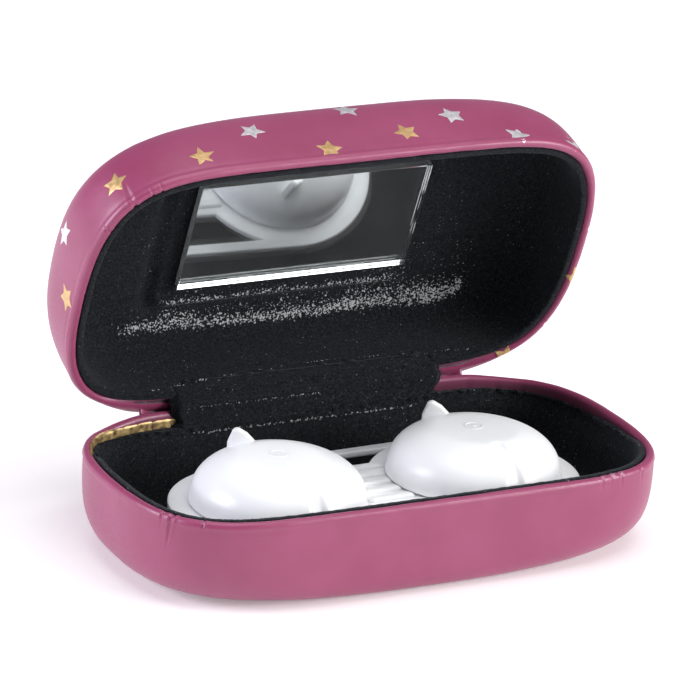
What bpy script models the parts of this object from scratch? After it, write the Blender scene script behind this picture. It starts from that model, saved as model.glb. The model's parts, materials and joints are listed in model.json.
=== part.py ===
"""Contact lens travel case: a hinged clamshell covered in leatherette, with a mirror in its lid
and a twin-well lens holder lying in its base.

Metres, +Z up. X runs along the hinge, -Y is the front. The origin is the centre of the base's
flat underside, so the case stands on z = 0. Each half is drawn closed, and the lid's pieces hang
from an empty on the hinge axis that swings them open.
"""
import math
from dataclasses import dataclass

import bmesh
import bpy
from mathutils import Vector

# ---------------------------------------------------------------- driving dimensions
MM = 0.001

HALF_WIDTH = 47.5 * MM          # the case, from its middle to one end
HALF_DEPTH = 25.5 * MM          # the case, from its middle to its front
OPENING = math.radians(69.0)    # the lid's swing between closed and its open stop
RIM_GAP = 0.3 * MM              # between the two closed rims

COVER_THICK = 0.35 * MM         # leatherette
SHELL_THICK = 0.4 * MM          # pressed steel
LINING_THICK = 0.8 * MM         # flocked plastic tray
LAYER_GAP = 0.2 * MM            # glue line between layers
FOLD_RADIUS = 0.75 * MM         # the leatherette's turn over the rim
TURN_IN = 3.5 * MM              # how far the leatherette runs down inside
LINING_DEPTH = 2 * FOLD_RADIUS + LAYER_GAP
FOLD_LEVEL = FOLD_RADIUS + TURN_IN + 0.5 * MM   # just below the end of the turn-in

OUTLINE_POINTS = 56             # around each shell
WALL_STEPS = 5                  # from the rim to the flat

# hinge
ZONE_HALF = 24.0 * MM           # half length of the hinge's relief in the rims
HINGE_RISE = 1.3 * MM           # hinge axis above the base's rim
HINGE_OUT = 0.16 * MM           # hinge axis behind the back wall
KNUCKLE_RADIUS = 0.95 * MM
BORE_RADIUS = 0.55 * MM
PIN_RADIUS = 0.47 * MM
PIN_HEAD_RADIUS = 0.8 * MM
PIN_HEAD_LENGTH = 0.5 * MM
LEAF_HALF = 22.0 * MM
LEAF_THICK = 0.4 * MM
LEAF_HEIGHT = 5.0 * MM
LEAF_INSET = 1.22 * MM          # leaf's outer face, in from the outside of the case
RIVET_RADIUS = 0.7 * MM
RIVET_CLEARANCE = 0.1 * MM
RIVET_RECESS = 0.05 * MM        # rivet ends below the faces they join
RIVET_CHAMFER = 0.1 * MM
RIVET_XS = (-16.0 * MM, 0.0, 16.0 * MM)
RIVET_OFFSET = 4.0 * MM         # rivets' distance from the hinge axis
LEAF_MARGIN = 0.2 * MM          # leaf's edge, back from the rim's level
PIN_END_PLAY = 0.2 * MM
BASE_KNUCKLES = ((-20.0 * MM, -14.0 * MM), (-3.8 * MM, 3.8 * MM), (14.0 * MM, 20.0 * MM))
LID_KNUCKLES = ((-10.0 * MM, -4.0 * MM), (4.0 * MM, 10.0 * MM))
SPRING_MIDDLE = 12.0 * MM       # each snap spring's distance from the case's middle
SPRING_HALF = 1.5 * MM
SPRING_WIRE = 0.15 * MM
SPRING_COIL = 0.72 * MM
SPRING_TURNS = 3
SPRING_LEG = 2.2 * MM

# strips that bridge the hinge
STRIP_HALF = 26.0 * MM
INNER_STRIP_THICK = 0.5 * MM
SPINE_THICK = 0.4 * MM
STRIP_GLUED = 6.0 * MM          # length glued down on each half
SPINE_BEND_BASE = 4.3 * MM      # spine's bend starts this far below the hinge axis
SPINE_BEND_LID = 4.5 * MM       # and ends this far up the lid from it
INNER_STRIP_GAP = 0.55 * MM     # covers the lining's bow and lean over the strip's length

# mirror
MIRROR_HALF_X = 21.5 * MM
MIRROR_HALF_Y = 11.0 * MM
MIRROR_THICK = 1.4 * MM
MIRROR_CHAMFER = 0.3 * MM
TAPE_THICK = 0.4 * MM
TAPE_MARGIN = 2.0 * MM

# lens holder
HOLDER_X = -0.5 * MM
HOLDER_Y = -3.7 * MM
HOLDER_TURN = math.radians(1.6)
WELL_OFFSET = 18.4 * MM         # each well's distance from the holder's middle
FLANGE_TOP = 10.4 * MM          # above the table
FLANGE_THICK = 1.2 * MM
FLANGE_RADIUS = 18.1 * MM
DISC_RADIUS = 17.6 * MM
BAR_WIDTH = 1.9 * MM
DECK_HALF = 10.5 * MM           # half depth of the ribbed waist
RIB_PITCH = 3.4 * MM
RIB_WIDTH = 1.6 * MM
RIB_HEIGHT = 0.8 * MM
RIB_COUNT = 6
NECK_RADIUS = 12.4 * MM
NECK_HEIGHT = 3.2 * MM
THREAD_LOW = 1.2 * MM           # thread's bead, above the flange
THREAD_HIGH = 2.0 * MM
WELL_WALL = 1.0 * MM
WELL_FLAT_RADIUS = 7.0 * MM
THREAD_RADIUS = 12.9 * MM
CAP_RADIUS = 14.5 * MM
CAP_HEIGHT = 8.2 * MM
CAP_FLAT_RADIUS = 6.0 * MM
CAP_WALL = 1.1 * MM
PART_GAP = 0.3 * MM
ROUND_STEPS = 32

EAR_LENGTH = 5.0 * MM
EAR_THICK = 1.3 * MM
EAR_RISE = 2.0 * MM             # above the cap's flat
EAR_FOOT = 1.2 * MM             # sunk into the cap
EAR_ROOT_DROP = 1.0 * MM        # extra sunk at the ear's outer end
EAR_TIP_RADIUS = 0.9 * MM
EAR_TIP_PLACE = 0.2             # tip's centre along the ear, from its middle, as a share
EAR_END_HEIGHTS = (0.3, 0.35)   # height of the ear's two ends, as a share of its full height
EAR_PLACE = (-2.0 * MM, 8.6 * MM)
EAR_TURN = math.radians(147.0)


@dataclass
class Half:
    """One half of the case: its height and how its wall rounds over into its flat."""
    height: float
    run_x: float
    run_y: float
    wall_power: float


BASE = Half(height=16.2 * MM, run_x=21.5 * MM, run_y=8.6 * MM, wall_power=5.2)
LID = Half(height=17.6 * MM, run_x=19.5 * MM, run_y=13.0 * MM, wall_power=4.6)
RIM_POWERS = (6.4, 2.65)        # outline exponents along x and y at the rim
FLAT_POWERS = (2.6, 2.5)        # and at the flat

HINGE_Y = HALF_DEPTH + HINGE_OUT
HINGE_Z = BASE.height + HINGE_RISE
LID_RIM_Z = BASE.height + RIM_GAP
NOTCH_TOP = HINGE_Z + HINGE_RISE


# ---------------------------------------------------------------- scene and objects
def clear_scene():
    for obj in list(bpy.data.objects):
        bpy.data.objects.remove(obj, do_unlink=True)


def new_collection(name):
    collection = bpy.data.collections.new(name)
    bpy.context.scene.collection.children.link(collection)
    return collection


clear_scene()
PARTS = new_collection("contact_lens_case")
CUTTERS = new_collection("cutters")


def make_material(name, colour, roughness, metallic=0.0):
    material = bpy.data.materials.new(name)
    material.use_nodes = True
    shader = material.node_tree.nodes["Principled BSDF"]
    shader.inputs["Base Color"].default_value = (*colour, 1.0)
    shader.inputs["Roughness"].default_value = roughness
    shader.inputs["Metallic"].default_value = metallic
    return material


LEATHERETTE = make_material("leatherette", (0.42, 0.10, 0.22), 0.45)
STEEL = make_material("steel", (0.55, 0.55, 0.56), 0.35, 1.0)
FLOCK = make_material("flock", (0.01, 0.01, 0.012), 0.95)
MIRROR = make_material("mirror", (0.85, 0.87, 0.88), 0.03, 1.0)
TAPE = make_material("foam_tape", (0.8, 0.8, 0.78), 0.9)
WHITE = make_material("white_plastic", (0.88, 0.88, 0.90), 0.25)


def add_object(name, mesh, material, collection=PARTS):
    obj = bpy.data.objects.new(name, mesh)
    collection.objects.link(obj)
    if material:
        mesh.materials.append(material)
    return obj


def as_cutter(obj):
    PARTS.objects.unlink(obj)
    CUTTERS.objects.link(obj)
    obj.hide_render = True
    obj.display_type = "WIRE"
    return obj


def boolean(obj, other, operation):
    modifier = obj.modifiers.new(operation.lower(), "BOOLEAN")
    modifier.operation = operation
    modifier.solver = "EXACT"
    modifier.object = other


def solidify(obj, thickness, offset=-1.0, depth=0.0):
    """Thickness on the inner side of an open surface, starting depth below it."""
    if depth:
        sink = obj.modifiers.new("sink", "DISPLACE")
        sink.strength = -depth
        sink.mid_level = 0.0
    thick = obj.modifiers.new("thickness", "SOLIDIFY")
    thick.thickness = thickness
    thick.offset = offset
    thick.use_even_offset = True


def mesh_from(name, bm, smooth=True):
    mesh = bpy.data.meshes.new(name)
    bm.to_mesh(mesh)
    bm.free()
    if smooth:
        mesh.shade_smooth()
        mesh.set_sharp_from_angle(angle=math.radians(40))
    return mesh


def box(name, low, high, material, bevel=0.0):
    """A box between two corners, its origin at its middle."""
    low, high = Vector(low), Vector(high)
    bm = bmesh.new()
    bmesh.ops.create_cube(bm, size=1.0)
    bmesh.ops.scale(bm, vec=high - low, verts=bm.verts)
    obj = add_object(name, mesh_from(name, bm, smooth=False), material)
    obj.location = (low + high) / 2
    if bevel:
        edge = obj.modifiers.new("edges", "BEVEL")
        edge.width = bevel
        edge.segments = 1
    return obj


def turned(name, profile, material, steps=ROUND_STEPS):
    """A solid of revolution about Z. The profile runs from the top, down the outer side."""
    bm = bmesh.new()
    verts = [bm.verts.new((radius, 0.0, height)) for radius, height in profile]
    for start, end in zip(verts, verts[1:]):
        bm.edges.new((start, end))
    obj = add_object(name, mesh_from(name, bm, smooth=False), material)
    screw = obj.modifiers.new("turn", "SCREW")
    screw.steps = steps
    screw.render_steps = steps
    screw.use_merge_vertices = True
    screw.merge_threshold = 0.00001
    screw.use_smooth_shade = True
    return obj


def cylinder_x(name, x_range, y, z, radius, material, segments=16):
    """A cylinder along X."""
    start, end = x_range
    bm = bmesh.new()
    bmesh.ops.create_cone(bm, cap_ends=True, segments=segments, radius1=radius, radius2=radius,
                          depth=end - start)
    obj = add_object(name, mesh_from(name, bm), material)
    obj.rotation_euler = (0.0, math.radians(90.0), 0.0)
    obj.location = ((start + end) / 2, y, z)
    return obj


def hang(objects, parent, offset=(0.0, 0.0, 0.0)):
    """Parent objects drawn in the closed case's frame to an empty."""
    for obj in objects:
        obj.location = Vector(obj.location) - Vector(offset)
        obj.parent = parent


def empty(name, location, rotation=(0.0, 0.0, 0.0)):
    obj = bpy.data.objects.new(name, None)
    PARTS.objects.link(obj)
    obj.location = location
    obj.rotation_euler = rotation
    return obj


# ---------------------------------------------------------------- the case's form
def outline(half_x, half_y, powers):
    """Points of |x/half_x|^px + |y/half_y|^py = 1, with the outward normal at each."""
    power_x, power_y = powers
    points = []
    for index in range(OUTLINE_POINTS):
        angle = 2 * math.pi * index / OUTLINE_POINTS
        cos, sin = math.cos(angle), math.sin(angle)
        unit_x = math.copysign(abs(cos) ** (2 / power_x), cos)
        unit_y = math.copysign(abs(sin) ** (2 / power_y), sin)
        slope_x = math.copysign(power_x * abs(unit_x) ** (power_x - 1) / half_x, cos)
        slope_y = math.copysign(power_y * abs(unit_y) ** (power_y - 1) / half_y, sin)
        normal = Vector((slope_x, slope_y)).normalized()
        points.append((Vector((half_x * unit_x, half_y * unit_y)), normal))
    return points


def wall_shape(half, rise):
    """The outer form at a height given as a share of the half's height above its rim."""
    inset = 1 - max(1 - rise ** half.wall_power, 0.0) ** (1 / half.wall_power)
    blend = rise ** 3
    powers = [rim + (flat - rim) * blend for rim, flat in zip(RIM_POWERS, FLAT_POWERS)]
    return outline(HALF_WIDTH - half.run_x * inset, HALF_DEPTH - half.run_y * inset, powers)


def wall_rings(half, drop):
    """Rings of one half's outer form, from drop below its rim to its flat."""
    rises = [drop / half.height, FOLD_LEVEL / half.height]
    for step in range(1, WALL_STEPS):
        angle = math.radians(90.0) * step / WALL_STEPS
        rises.append(math.sin(angle) ** (2 / half.wall_power))
    rises.append(1.0)
    rings = []
    for rise in rises:
        rings.append([(point.x, point.y, rise * half.height) for point, _ in wall_shape(half, rise)])
    return rings


def fold_rings():
    """Rings of the leatherette's turn-in: up the inside of the rim and over it."""
    shape = outline(HALF_WIDTH, HALF_DEPTH, RIM_POWERS)
    path = [(2 * FOLD_RADIUS, FOLD_RADIUS + TURN_IN)]
    for step in range(5):
        angle = math.radians(45.0) * step
        path.append((FOLD_RADIUS * (1 + math.cos(angle)), FOLD_RADIUS * (1 - math.sin(angle))))
    rings = []
    for inset, depth in path:
        rings.append([(*(point - normal * inset), depth) for point, normal in shape])
    return rings


def form_surface(name, rings, rim_z, direction, material):
    """An open bowl through the rings, growing up (direction 1) or down (-1) from its rim."""
    bm = bmesh.new()
    loops = []
    for ring in rings:
        loops.append([bm.verts.new((x, y, rim_z + direction * depth)) for x, y, depth in ring])
    for lower, upper in zip(loops, loops[1:]):
        for index in range(OUTLINE_POINTS):
            following = (index + 1) % OUTLINE_POINTS
            quad = [lower[index], lower[following], upper[following], upper[index]]
            bm.faces.new(quad if direction > 0 else reversed(quad))
    bm.faces.new(loops[-1] if direction > 0 else reversed(loops[-1]))
    return add_object(name, mesh_from(name, bm), material)


def bowl(name, half, rim_z, direction, depth, thickness, drop, material):
    """One layer of a half: its outer face lies depth inside the outer form."""
    obj = form_surface(name, wall_rings(half, drop), rim_z, direction, material)
    solidify(obj, thickness, depth=depth)
    return obj


def cover(name, half, rim_z, direction):
    """The leatherette of one half, with its turn-in."""
    rings = fold_rings() + wall_rings(half, FOLD_RADIUS)[1:]
    obj = form_surface(name, rings, rim_z, direction, LEATHERETTE)
    solidify(obj, COVER_THICK)
    return obj


# ---------------------------------------------------------------- base and lid
SHELL_DEPTH = COVER_THICK + LAYER_GAP
SHELL_DROP = FOLD_RADIUS
BASE_LINING_DROP = 2.8 * MM     # lining's edge below the rim
LID_LINING_DROP = 0.5 * MM      # lining's edge inside the rim
CUT_MARGIN = 1.0 * MM           # how far a cutter runs past what it cuts
RELIEF_DEPTH = 5.0 * MM         # from the outside of the case to inside its turn-in
FOLD_ZONE_Y = (HALF_DEPTH - RELIEF_DEPTH, HALF_DEPTH - SHELL_DEPTH + LAYER_GAP / 10)


def relief_cutter(name, y_range, z_range):
    """A box over the hinge's length, between two depths and two heights."""
    low = (-ZONE_HALF, y_range[0], z_range[0])
    high = (ZONE_HALF, y_range[1], z_range[1])
    return as_cutter(box(name, low, high, None))


def rivet_cutter(name, x, z):
    bm = bmesh.new()
    radius = RIVET_RADIUS + RIVET_CLEARANCE
    bmesh.ops.create_cone(bm, cap_ends=True, segments=12, radius1=radius, radius2=radius,
                          depth=4 * LEAF_INSET)
    obj = as_cutter(add_object(name, mesh_from(name, bm), None))
    obj.rotation_euler = (math.radians(90.0), 0.0, 0.0)
    obj.location = (x, HALF_DEPTH - LEAF_INSET, z)
    return obj


def make_base():
    """Cover, shell and lining of the base."""
    base_cover = cover("base_cover", BASE, BASE.height, -1)
    fold_zone = (BASE.height - FOLD_RADIUS - TURN_IN - CUT_MARGIN, BASE.height + CUT_MARGIN)
    fold_relief = relief_cutter("base_fold_relief", FOLD_ZONE_Y, fold_zone)
    boolean(base_cover, fold_relief, "DIFFERENCE")
    base_shell = bowl("base_shell", BASE, BASE.height, -1, SHELL_DEPTH, SHELL_THICK, SHELL_DROP,
                      STEEL)
    for index, x in enumerate(RIVET_XS):
        hole = rivet_cutter(f"base_rivet_hole_{index + 1}", x, HINGE_Z - RIVET_OFFSET)
        boolean(base_shell, hole, "DIFFERENCE")
    bowl("base_lining", BASE, BASE.height, -1, LINING_DEPTH, LINING_THICK, BASE_LINING_DROP, FLOCK)


def make_lid():
    """Cover, shell and lining of the lid, with the hinge's notch in the back of each."""
    lid_cover = cover("lid_cover", LID, LID_RIM_Z, 1)
    fold_zone = (LID_RIM_Z - CUT_MARGIN, LID_RIM_Z + FOLD_RADIUS + TURN_IN + CUT_MARGIN)
    fold_relief = relief_cutter("lid_fold_relief", FOLD_ZONE_Y, fold_zone)
    boolean(lid_cover, fold_relief, "DIFFERENCE")
    lid_shell = bowl("lid_shell", LID, LID_RIM_Z, 1, SHELL_DEPTH, SHELL_THICK, SHELL_DROP, STEEL)
    lid_lining = bowl("lid_lining", LID, LID_RIM_Z, 1, LINING_DEPTH, LINING_THICK,
                      LID_LINING_DROP, FLOCK)
    notch_y = (HALF_DEPTH - RELIEF_DEPTH, HALF_DEPTH + CUT_MARGIN)
    notch = relief_cutter("lid_notch", notch_y, (LID_RIM_Z - CUT_MARGIN, NOTCH_TOP))
    for layer in (lid_cover, lid_shell, lid_lining):
        boolean(layer, notch, "DIFFERENCE")
    cutters = [fold_relief, notch]
    for index, x in enumerate(RIVET_XS):
        hole = rivet_cutter(f"lid_rivet_hole_{index + 1}", x, HINGE_Z + RIVET_OFFSET)
        boolean(lid_shell, hole, "DIFFERENCE")
        cutters.append(hole)
    return [lid_cover, lid_shell, lid_lining] + cutters


def make_mirror():
    """The mirror glass and the foam tape that holds it to the lid's lining."""
    ceiling = LID_RIM_Z + LID.height - LINING_DEPTH - LINING_THICK
    tape_top = ceiling - LAYER_GAP
    tape_low = tape_top - TAPE_THICK
    glass_top = tape_low - LAYER_GAP
    tape = box("mirror_tape",
               (-MIRROR_HALF_X + TAPE_MARGIN, -MIRROR_HALF_Y + TAPE_MARGIN, tape_low),
               (MIRROR_HALF_X - TAPE_MARGIN, MIRROR_HALF_Y - TAPE_MARGIN, tape_top), TAPE)
    glass = box("mirror_glass",
                (-MIRROR_HALF_X, -MIRROR_HALF_Y, glass_top - MIRROR_THICK),
                (MIRROR_HALF_X, MIRROR_HALF_Y, glass_top), MIRROR, bevel=MIRROR_CHAMFER)
    return [tape, glass]


# ---------------------------------------------------------------- hinge
def make_leaf(name, knuckles, side):
    """A hinge leaf: a plate on the shell's inner face, bent out to its knuckles.

    side is -1 for the base's leaf, which hangs down from the axis, and 1 for the lid's.
    """
    plate_y = (HALF_DEPTH - LEAF_INSET - LEAF_THICK, HALF_DEPTH - LEAF_INSET)
    near = HINGE_Z + side * (HINGE_RISE - LEAF_MARGIN)
    far = near + side * LEAF_HEIGHT
    low, high = min(near, far), max(near, far)
    leaf = box(name, (-LEAF_HALF, plate_y[0], low), (LEAF_HALF, plate_y[1], high), STEEL)
    tools = []
    overlap = LEAF_THICK / 4
    root_low, root_high = sorted((near + side * overlap, near - side * LEAF_THICK))
    for index, (start, end) in enumerate(knuckles):
        tab = box(f"{name}_tab_{index + 1}", (start, plate_y[0], root_low), (end, HINGE_Y, root_high),
                  None)
        barrel = cylinder_x(f"{name}_knuckle_{index + 1}", (start, end), HINGE_Y, HINGE_Z,
                            KNUCKLE_RADIUS, None)
        for tool in (tab, barrel):
            boolean(leaf, as_cutter(tool), "UNION")
            tools.append(tool)
    bore = as_cutter(cylinder_x(f"{name}_bore", (-LEAF_HALF, LEAF_HALF), HINGE_Y, HINGE_Z,
                                BORE_RADIUS, None))
    boolean(leaf, bore, "DIFFERENCE")
    tools.append(bore)
    for index, x in enumerate(RIVET_XS):
        hole = rivet_cutter(f"{name}_rivet_hole_{index + 1}", x, HINGE_Z + side * RIVET_OFFSET)
        boolean(leaf, hole, "DIFFERENCE")
        tools.append(hole)
    return [leaf] + tools


def make_rivet(name, x, side):
    """A flush rivet through a leaf and its shell."""
    inner = HALF_DEPTH - LEAF_INSET - LEAF_THICK + RIVET_RECESS
    outer = HALF_DEPTH - SHELL_DEPTH - RIVET_RECESS
    half = (outer - inner) / 2
    end_radius = RIVET_RADIUS - RIVET_CHAMFER
    edge = half - RIVET_CHAMFER
    profile = [(0.0, half), (end_radius, half), (RIVET_RADIUS, edge),
               (RIVET_RADIUS, -edge), (end_radius, -half), (0.0, -half)]
    rivet = turned(name, profile, STEEL, steps=12)
    rivet.rotation_euler = (math.radians(90.0), 0.0, 0.0)
    rivet.location = (x, (inner + outer) / 2, HINGE_Z + side * RIVET_OFFSET)
    return rivet


def make_pin():
    """The hinge pin, headed over at both ends."""
    reach = BASE_KNUCKLES[-1][1] + PIN_END_PLAY
    end = reach + PIN_HEAD_LENGTH
    profile = [(0.0, end), (PIN_HEAD_RADIUS, end), (PIN_HEAD_RADIUS, reach), (PIN_RADIUS, reach),
               (PIN_RADIUS, -reach), (PIN_HEAD_RADIUS, -reach), (PIN_HEAD_RADIUS, -end), (0.0, -end)]
    pin = turned("hinge_pin", profile, STEEL, steps=16)
    pin.rotation_euler = (0.0, math.radians(90.0), 0.0)
    pin.location = (0.0, HINGE_Y, HINGE_Z)


def make_spring(name, middle):
    """A snap spring coiled on the pin, with one leg over each leaf."""
    base_leg = Vector((-SPRING_LEG, -SPRING_COIL))
    swing = (math.cos(OPENING), math.sin(OPENING))
    lid_start = Vector((SPRING_COIL * swing[1], SPRING_COIL * swing[0]))
    lid_leg = Vector((-SPRING_LEG * swing[0] + SPRING_COIL * swing[1],
                      SPRING_LEG * swing[1] + SPRING_COIL * swing[0]))
    start_angle = -math.pi / 2
    end_angle = math.atan2(lid_start.y, lid_start.x) + 2 * math.pi * SPRING_TURNS
    count = 10 * SPRING_TURNS
    points = [(-SPRING_HALF, *base_leg)]
    for index in range(count + 1):
        share = index / count
        angle = start_angle + (end_angle - start_angle) * share
        points.append((SPRING_HALF * (2 * share - 1), SPRING_COIL * math.cos(angle),
                       SPRING_COIL * math.sin(angle)))
    points.append((SPRING_HALF, *lid_leg))
    curve = bpy.data.curves.new(name, "CURVE")
    curve.dimensions = "3D"
    curve.bevel_depth = SPRING_WIRE
    curve.bevel_resolution = 1
    curve.use_fill_caps = True
    spline = curve.splines.new("POLY")
    spline.points.add(len(points) - 1)
    for point, place in zip(spline.points, points):
        point.co = (*place, 1.0)
    curve.materials.append(STEEL)
    spring = bpy.data.objects.new(name, curve)
    PARTS.objects.link(spring)
    spring.location = (middle, HINGE_Y, HINGE_Z)
    weld = spring.modifiers.new("caps", "WELD")
    weld.merge_threshold = 0.000005


def swung(y, z):
    """Where a point of the closed lid, measured from the hinge axis, lies with the lid open."""
    cos, sin = math.cos(OPENING), math.sin(OPENING)
    return (HINGE_Y + y * cos + z * sin, HINGE_Z - y * sin + z * cos)


def ribbon(name, path, thickness, material):
    """A strip across the hinge: a path of (y, z) points, as wide as the strip."""
    bm = bmesh.new()
    rows = []
    for y, z in path:
        rows.append([bm.verts.new((x, y, z)) for x in (-STRIP_HALF, 0.0, STRIP_HALF)])
    for low, high in zip(rows, rows[1:]):
        for index in range(2):
            bm.faces.new((low[index], high[index], high[index + 1], low[index + 1]))
    obj = add_object(name, mesh_from(name, bm), material)
    solidify(obj, thickness, offset=0.0)
    return obj


def make_strips():
    """The flocked strip inside the hinge and the leatherette spine outside it, lid open."""
    inner_y = -(HINGE_OUT + LINING_DEPTH + LINING_THICK + INNER_STRIP_GAP + INNER_STRIP_THICK / 2)
    lining_top = BASE.height - BASE_LINING_DROP
    path = [(HINGE_Y + inner_y, lining_top - STRIP_GLUED / 2), (HINGE_Y + inner_y, HINGE_Z)]
    steps = 6
    for index in range(1, steps + 1):
        angle = OPENING * index / steps
        path.append((HINGE_Y + inner_y * math.cos(angle), HINGE_Z - inner_y * math.sin(angle)))
    path.append(swung(inner_y, STRIP_GLUED))
    ribbon("hinge_lining_strip", path, INNER_STRIP_THICK, FLOCK)

    outer_y = LAYER_GAP + SPINE_THICK / 2 - HINGE_OUT
    bend_start = Vector((HINGE_Y + outer_y, HINGE_Z - SPINE_BEND_BASE))
    bend_end = Vector(swung(outer_y, SPINE_BEND_LID))
    corner = Vector(swung(outer_y, outer_y * (1 - math.cos(OPENING)) / math.sin(OPENING)))
    path = [(bend_start.x, bend_start.y - STRIP_GLUED)]
    steps = 8
    for index in range(steps + 1):
        t = index / steps
        point = bend_start * (1 - t) ** 2 + corner * 2 * t * (1 - t) + bend_end * t ** 2
        path.append(tuple(point))
    path.append(swung(outer_y, SPINE_BEND_LID + STRIP_GLUED))
    ribbon("spine_cover", path, SPINE_THICK, LEATHERETTE)


# ---------------------------------------------------------------- lens holder
def arc(centre, radius, start, end, steps):
    """Points along an arc, its ends included; angles in degrees."""
    points = []
    for index in range(steps + 1):
        angle = math.radians(start + (end - start) * index / steps)
        points.append((centre[0] + radius * math.cos(angle), centre[1] + radius * math.sin(angle)))
    return points


def flat_solid(name, outlines, thickness, material):
    """A flat outline, later outlines being holes in it, made a mesh with welded caps."""
    curve = bpy.data.curves.new(name, "CURVE")
    curve.dimensions = "2D"
    curve.fill_mode = "BOTH"
    curve.extrude = thickness / 2
    for points in outlines:
        spline = curve.splines.new("POLY")
        spline.points.add(len(points) - 1)
        for point, (x, y) in zip(spline.points, points):
            point.co = (x, y, 0.0, 1.0)
        spline.use_cyclic_u = True
    source = bpy.data.objects.new(name + "_curve", curve)
    PARTS.objects.link(source)
    depsgraph = bpy.context.evaluated_depsgraph_get()
    mesh = bpy.data.meshes.new_from_object(source.evaluated_get(depsgraph))
    bpy.data.objects.remove(source)
    bm = bmesh.new()
    bm.from_mesh(mesh)
    bmesh.ops.remove_doubles(bm, verts=bm.verts, dist=0.000001)
    bm.to_mesh(mesh)
    bm.free()
    mesh.name = name
    mesh.materials.clear()
    return add_object(name, mesh, material)


def window_outline(side):
    """The opening between the two discs, the ribbed waist and the bar; side is 1 or -1."""
    top = FLANGE_RADIUS - BAR_WIDTH
    low_angle = math.degrees(math.asin(DECK_HALF / DISC_RADIUS))
    high_angle = math.degrees(math.asin(top / DISC_RADIUS))
    left = arc((-WELL_OFFSET, 0.0), DISC_RADIUS, low_angle, high_angle, 5)
    right = arc((WELL_OFFSET, 0.0), DISC_RADIUS, 180 - high_angle, 180 - low_angle, 5)
    return [(x, side * y) for x, y in left + right]


def well_profile():
    """From the middle of a well's floor up its inner side, then down its outer side."""
    depth = FLANGE_TOP - (LINING_DEPTH + LINING_THICK + PART_GAP)
    bead_run = THREAD_RADIUS - NECK_RADIUS
    bend = -FLANGE_THICK / 2
    steps = 4
    profile = [(0.0, WELL_WALL - depth)]
    for index in range(steps, -1, -1):
        angle = math.radians(90.0) * index / steps
        radius = WELL_FLAT_RADIUS + (NECK_RADIUS - WELL_WALL - WELL_FLAT_RADIUS) * math.cos(angle)
        fall = (depth + bend - WELL_WALL) * math.sin(angle)
        profile.append((radius, bend - fall))
    profile += [(NECK_RADIUS - WELL_WALL, NECK_HEIGHT), (NECK_RADIUS, NECK_HEIGHT),
                (NECK_RADIUS, THREAD_HIGH + bead_run), (THREAD_RADIUS, THREAD_HIGH),
                (THREAD_RADIUS, THREAD_LOW), (NECK_RADIUS, THREAD_LOW - bead_run)]
    for index in range(steps + 1):
        angle = math.radians(90.0) * index / steps
        radius = WELL_FLAT_RADIUS + (NECK_RADIUS - WELL_FLAT_RADIUS) * math.cos(angle)
        profile.append((radius, bend - (depth + bend) * math.sin(angle)))
    profile.append((0.0, -depth))
    return profile


def make_holder(place):
    """The twin-well holder: a flange plate with a bar front and back, ribs and two wells."""
    outer = arc((WELL_OFFSET, 0.0), FLANGE_RADIUS, -90.0, 90.0, 20)
    outer += arc((-WELL_OFFSET, 0.0), FLANGE_RADIUS, 90.0, 270.0, 20)
    bore = NECK_RADIUS - WELL_WALL / 2
    last_angle = 360.0 - 360.0 / ROUND_STEPS
    outlines = [outer, window_outline(1), window_outline(-1)]
    for side in (-1, 1):
        outlines.append(arc((side * WELL_OFFSET, 0.0), bore, 0.0, last_angle, ROUND_STEPS - 1))
    holder = flat_solid("lens_holder", outlines, FLANGE_THICK, WHITE)
    holder.location = (0.0, 0.0, FLANGE_TOP - FLANGE_THICK / 2)
    pieces = [holder]
    for side, word in ((-1, "left"), (1, "right")):
        well = as_cutter(turned(f"{word}_well", well_profile(), None))
        well.location = (side * WELL_OFFSET, 0.0, FLANGE_TOP)
        well.rotation_euler = (0.0, 0.0, math.pi / ROUND_STEPS)
        boolean(holder, well, "UNION")
        pieces.append(well)
    for index in range(RIB_COUNT):
        y = RIB_PITCH * (index - (RIB_COUNT - 1) / 2)
        nearest = abs(y) - RIB_WIDTH / 2
        half_x = WELL_OFFSET - math.sqrt(CAP_RADIUS ** 2 - nearest ** 2) - PART_GAP
        low = (-half_x, y - RIB_WIDTH / 2, FLANGE_TOP - FLANGE_THICK / 3)
        high = (half_x, y + RIB_WIDTH / 2, FLANGE_TOP + RIB_HEIGHT)
        rib = as_cutter(box(f"rib_{index + 1}", low, high, None))
        boolean(holder, rib, "UNION")
        pieces.append(rib)
    hang(pieces, place)


def cap_profile():
    """Outer side of a cap from its top, then its inner side back up."""
    profile = [(0.0, CAP_HEIGHT)]
    steps = 5
    for index in range(steps + 1):
        angle = math.radians(90.0) * (1 - index / steps)
        radius = CAP_FLAT_RADIUS + (CAP_RADIUS - CAP_FLAT_RADIUS) * math.cos(angle)
        profile.append((radius, PART_GAP + (CAP_HEIGHT - PART_GAP) * math.sin(angle)))
    inner_radius = CAP_RADIUS - CAP_WALL
    inner_height = CAP_HEIGHT - CAP_WALL
    for index in range(steps + 1):
        angle = math.radians(90.0) * index / steps
        radius = CAP_FLAT_RADIUS + (inner_radius - CAP_FLAT_RADIUS) * math.cos(angle)
        profile.append((radius, PART_GAP + (inner_height - PART_GAP) * math.sin(angle)))
    profile.append((0.0, inner_height))
    return profile


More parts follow.
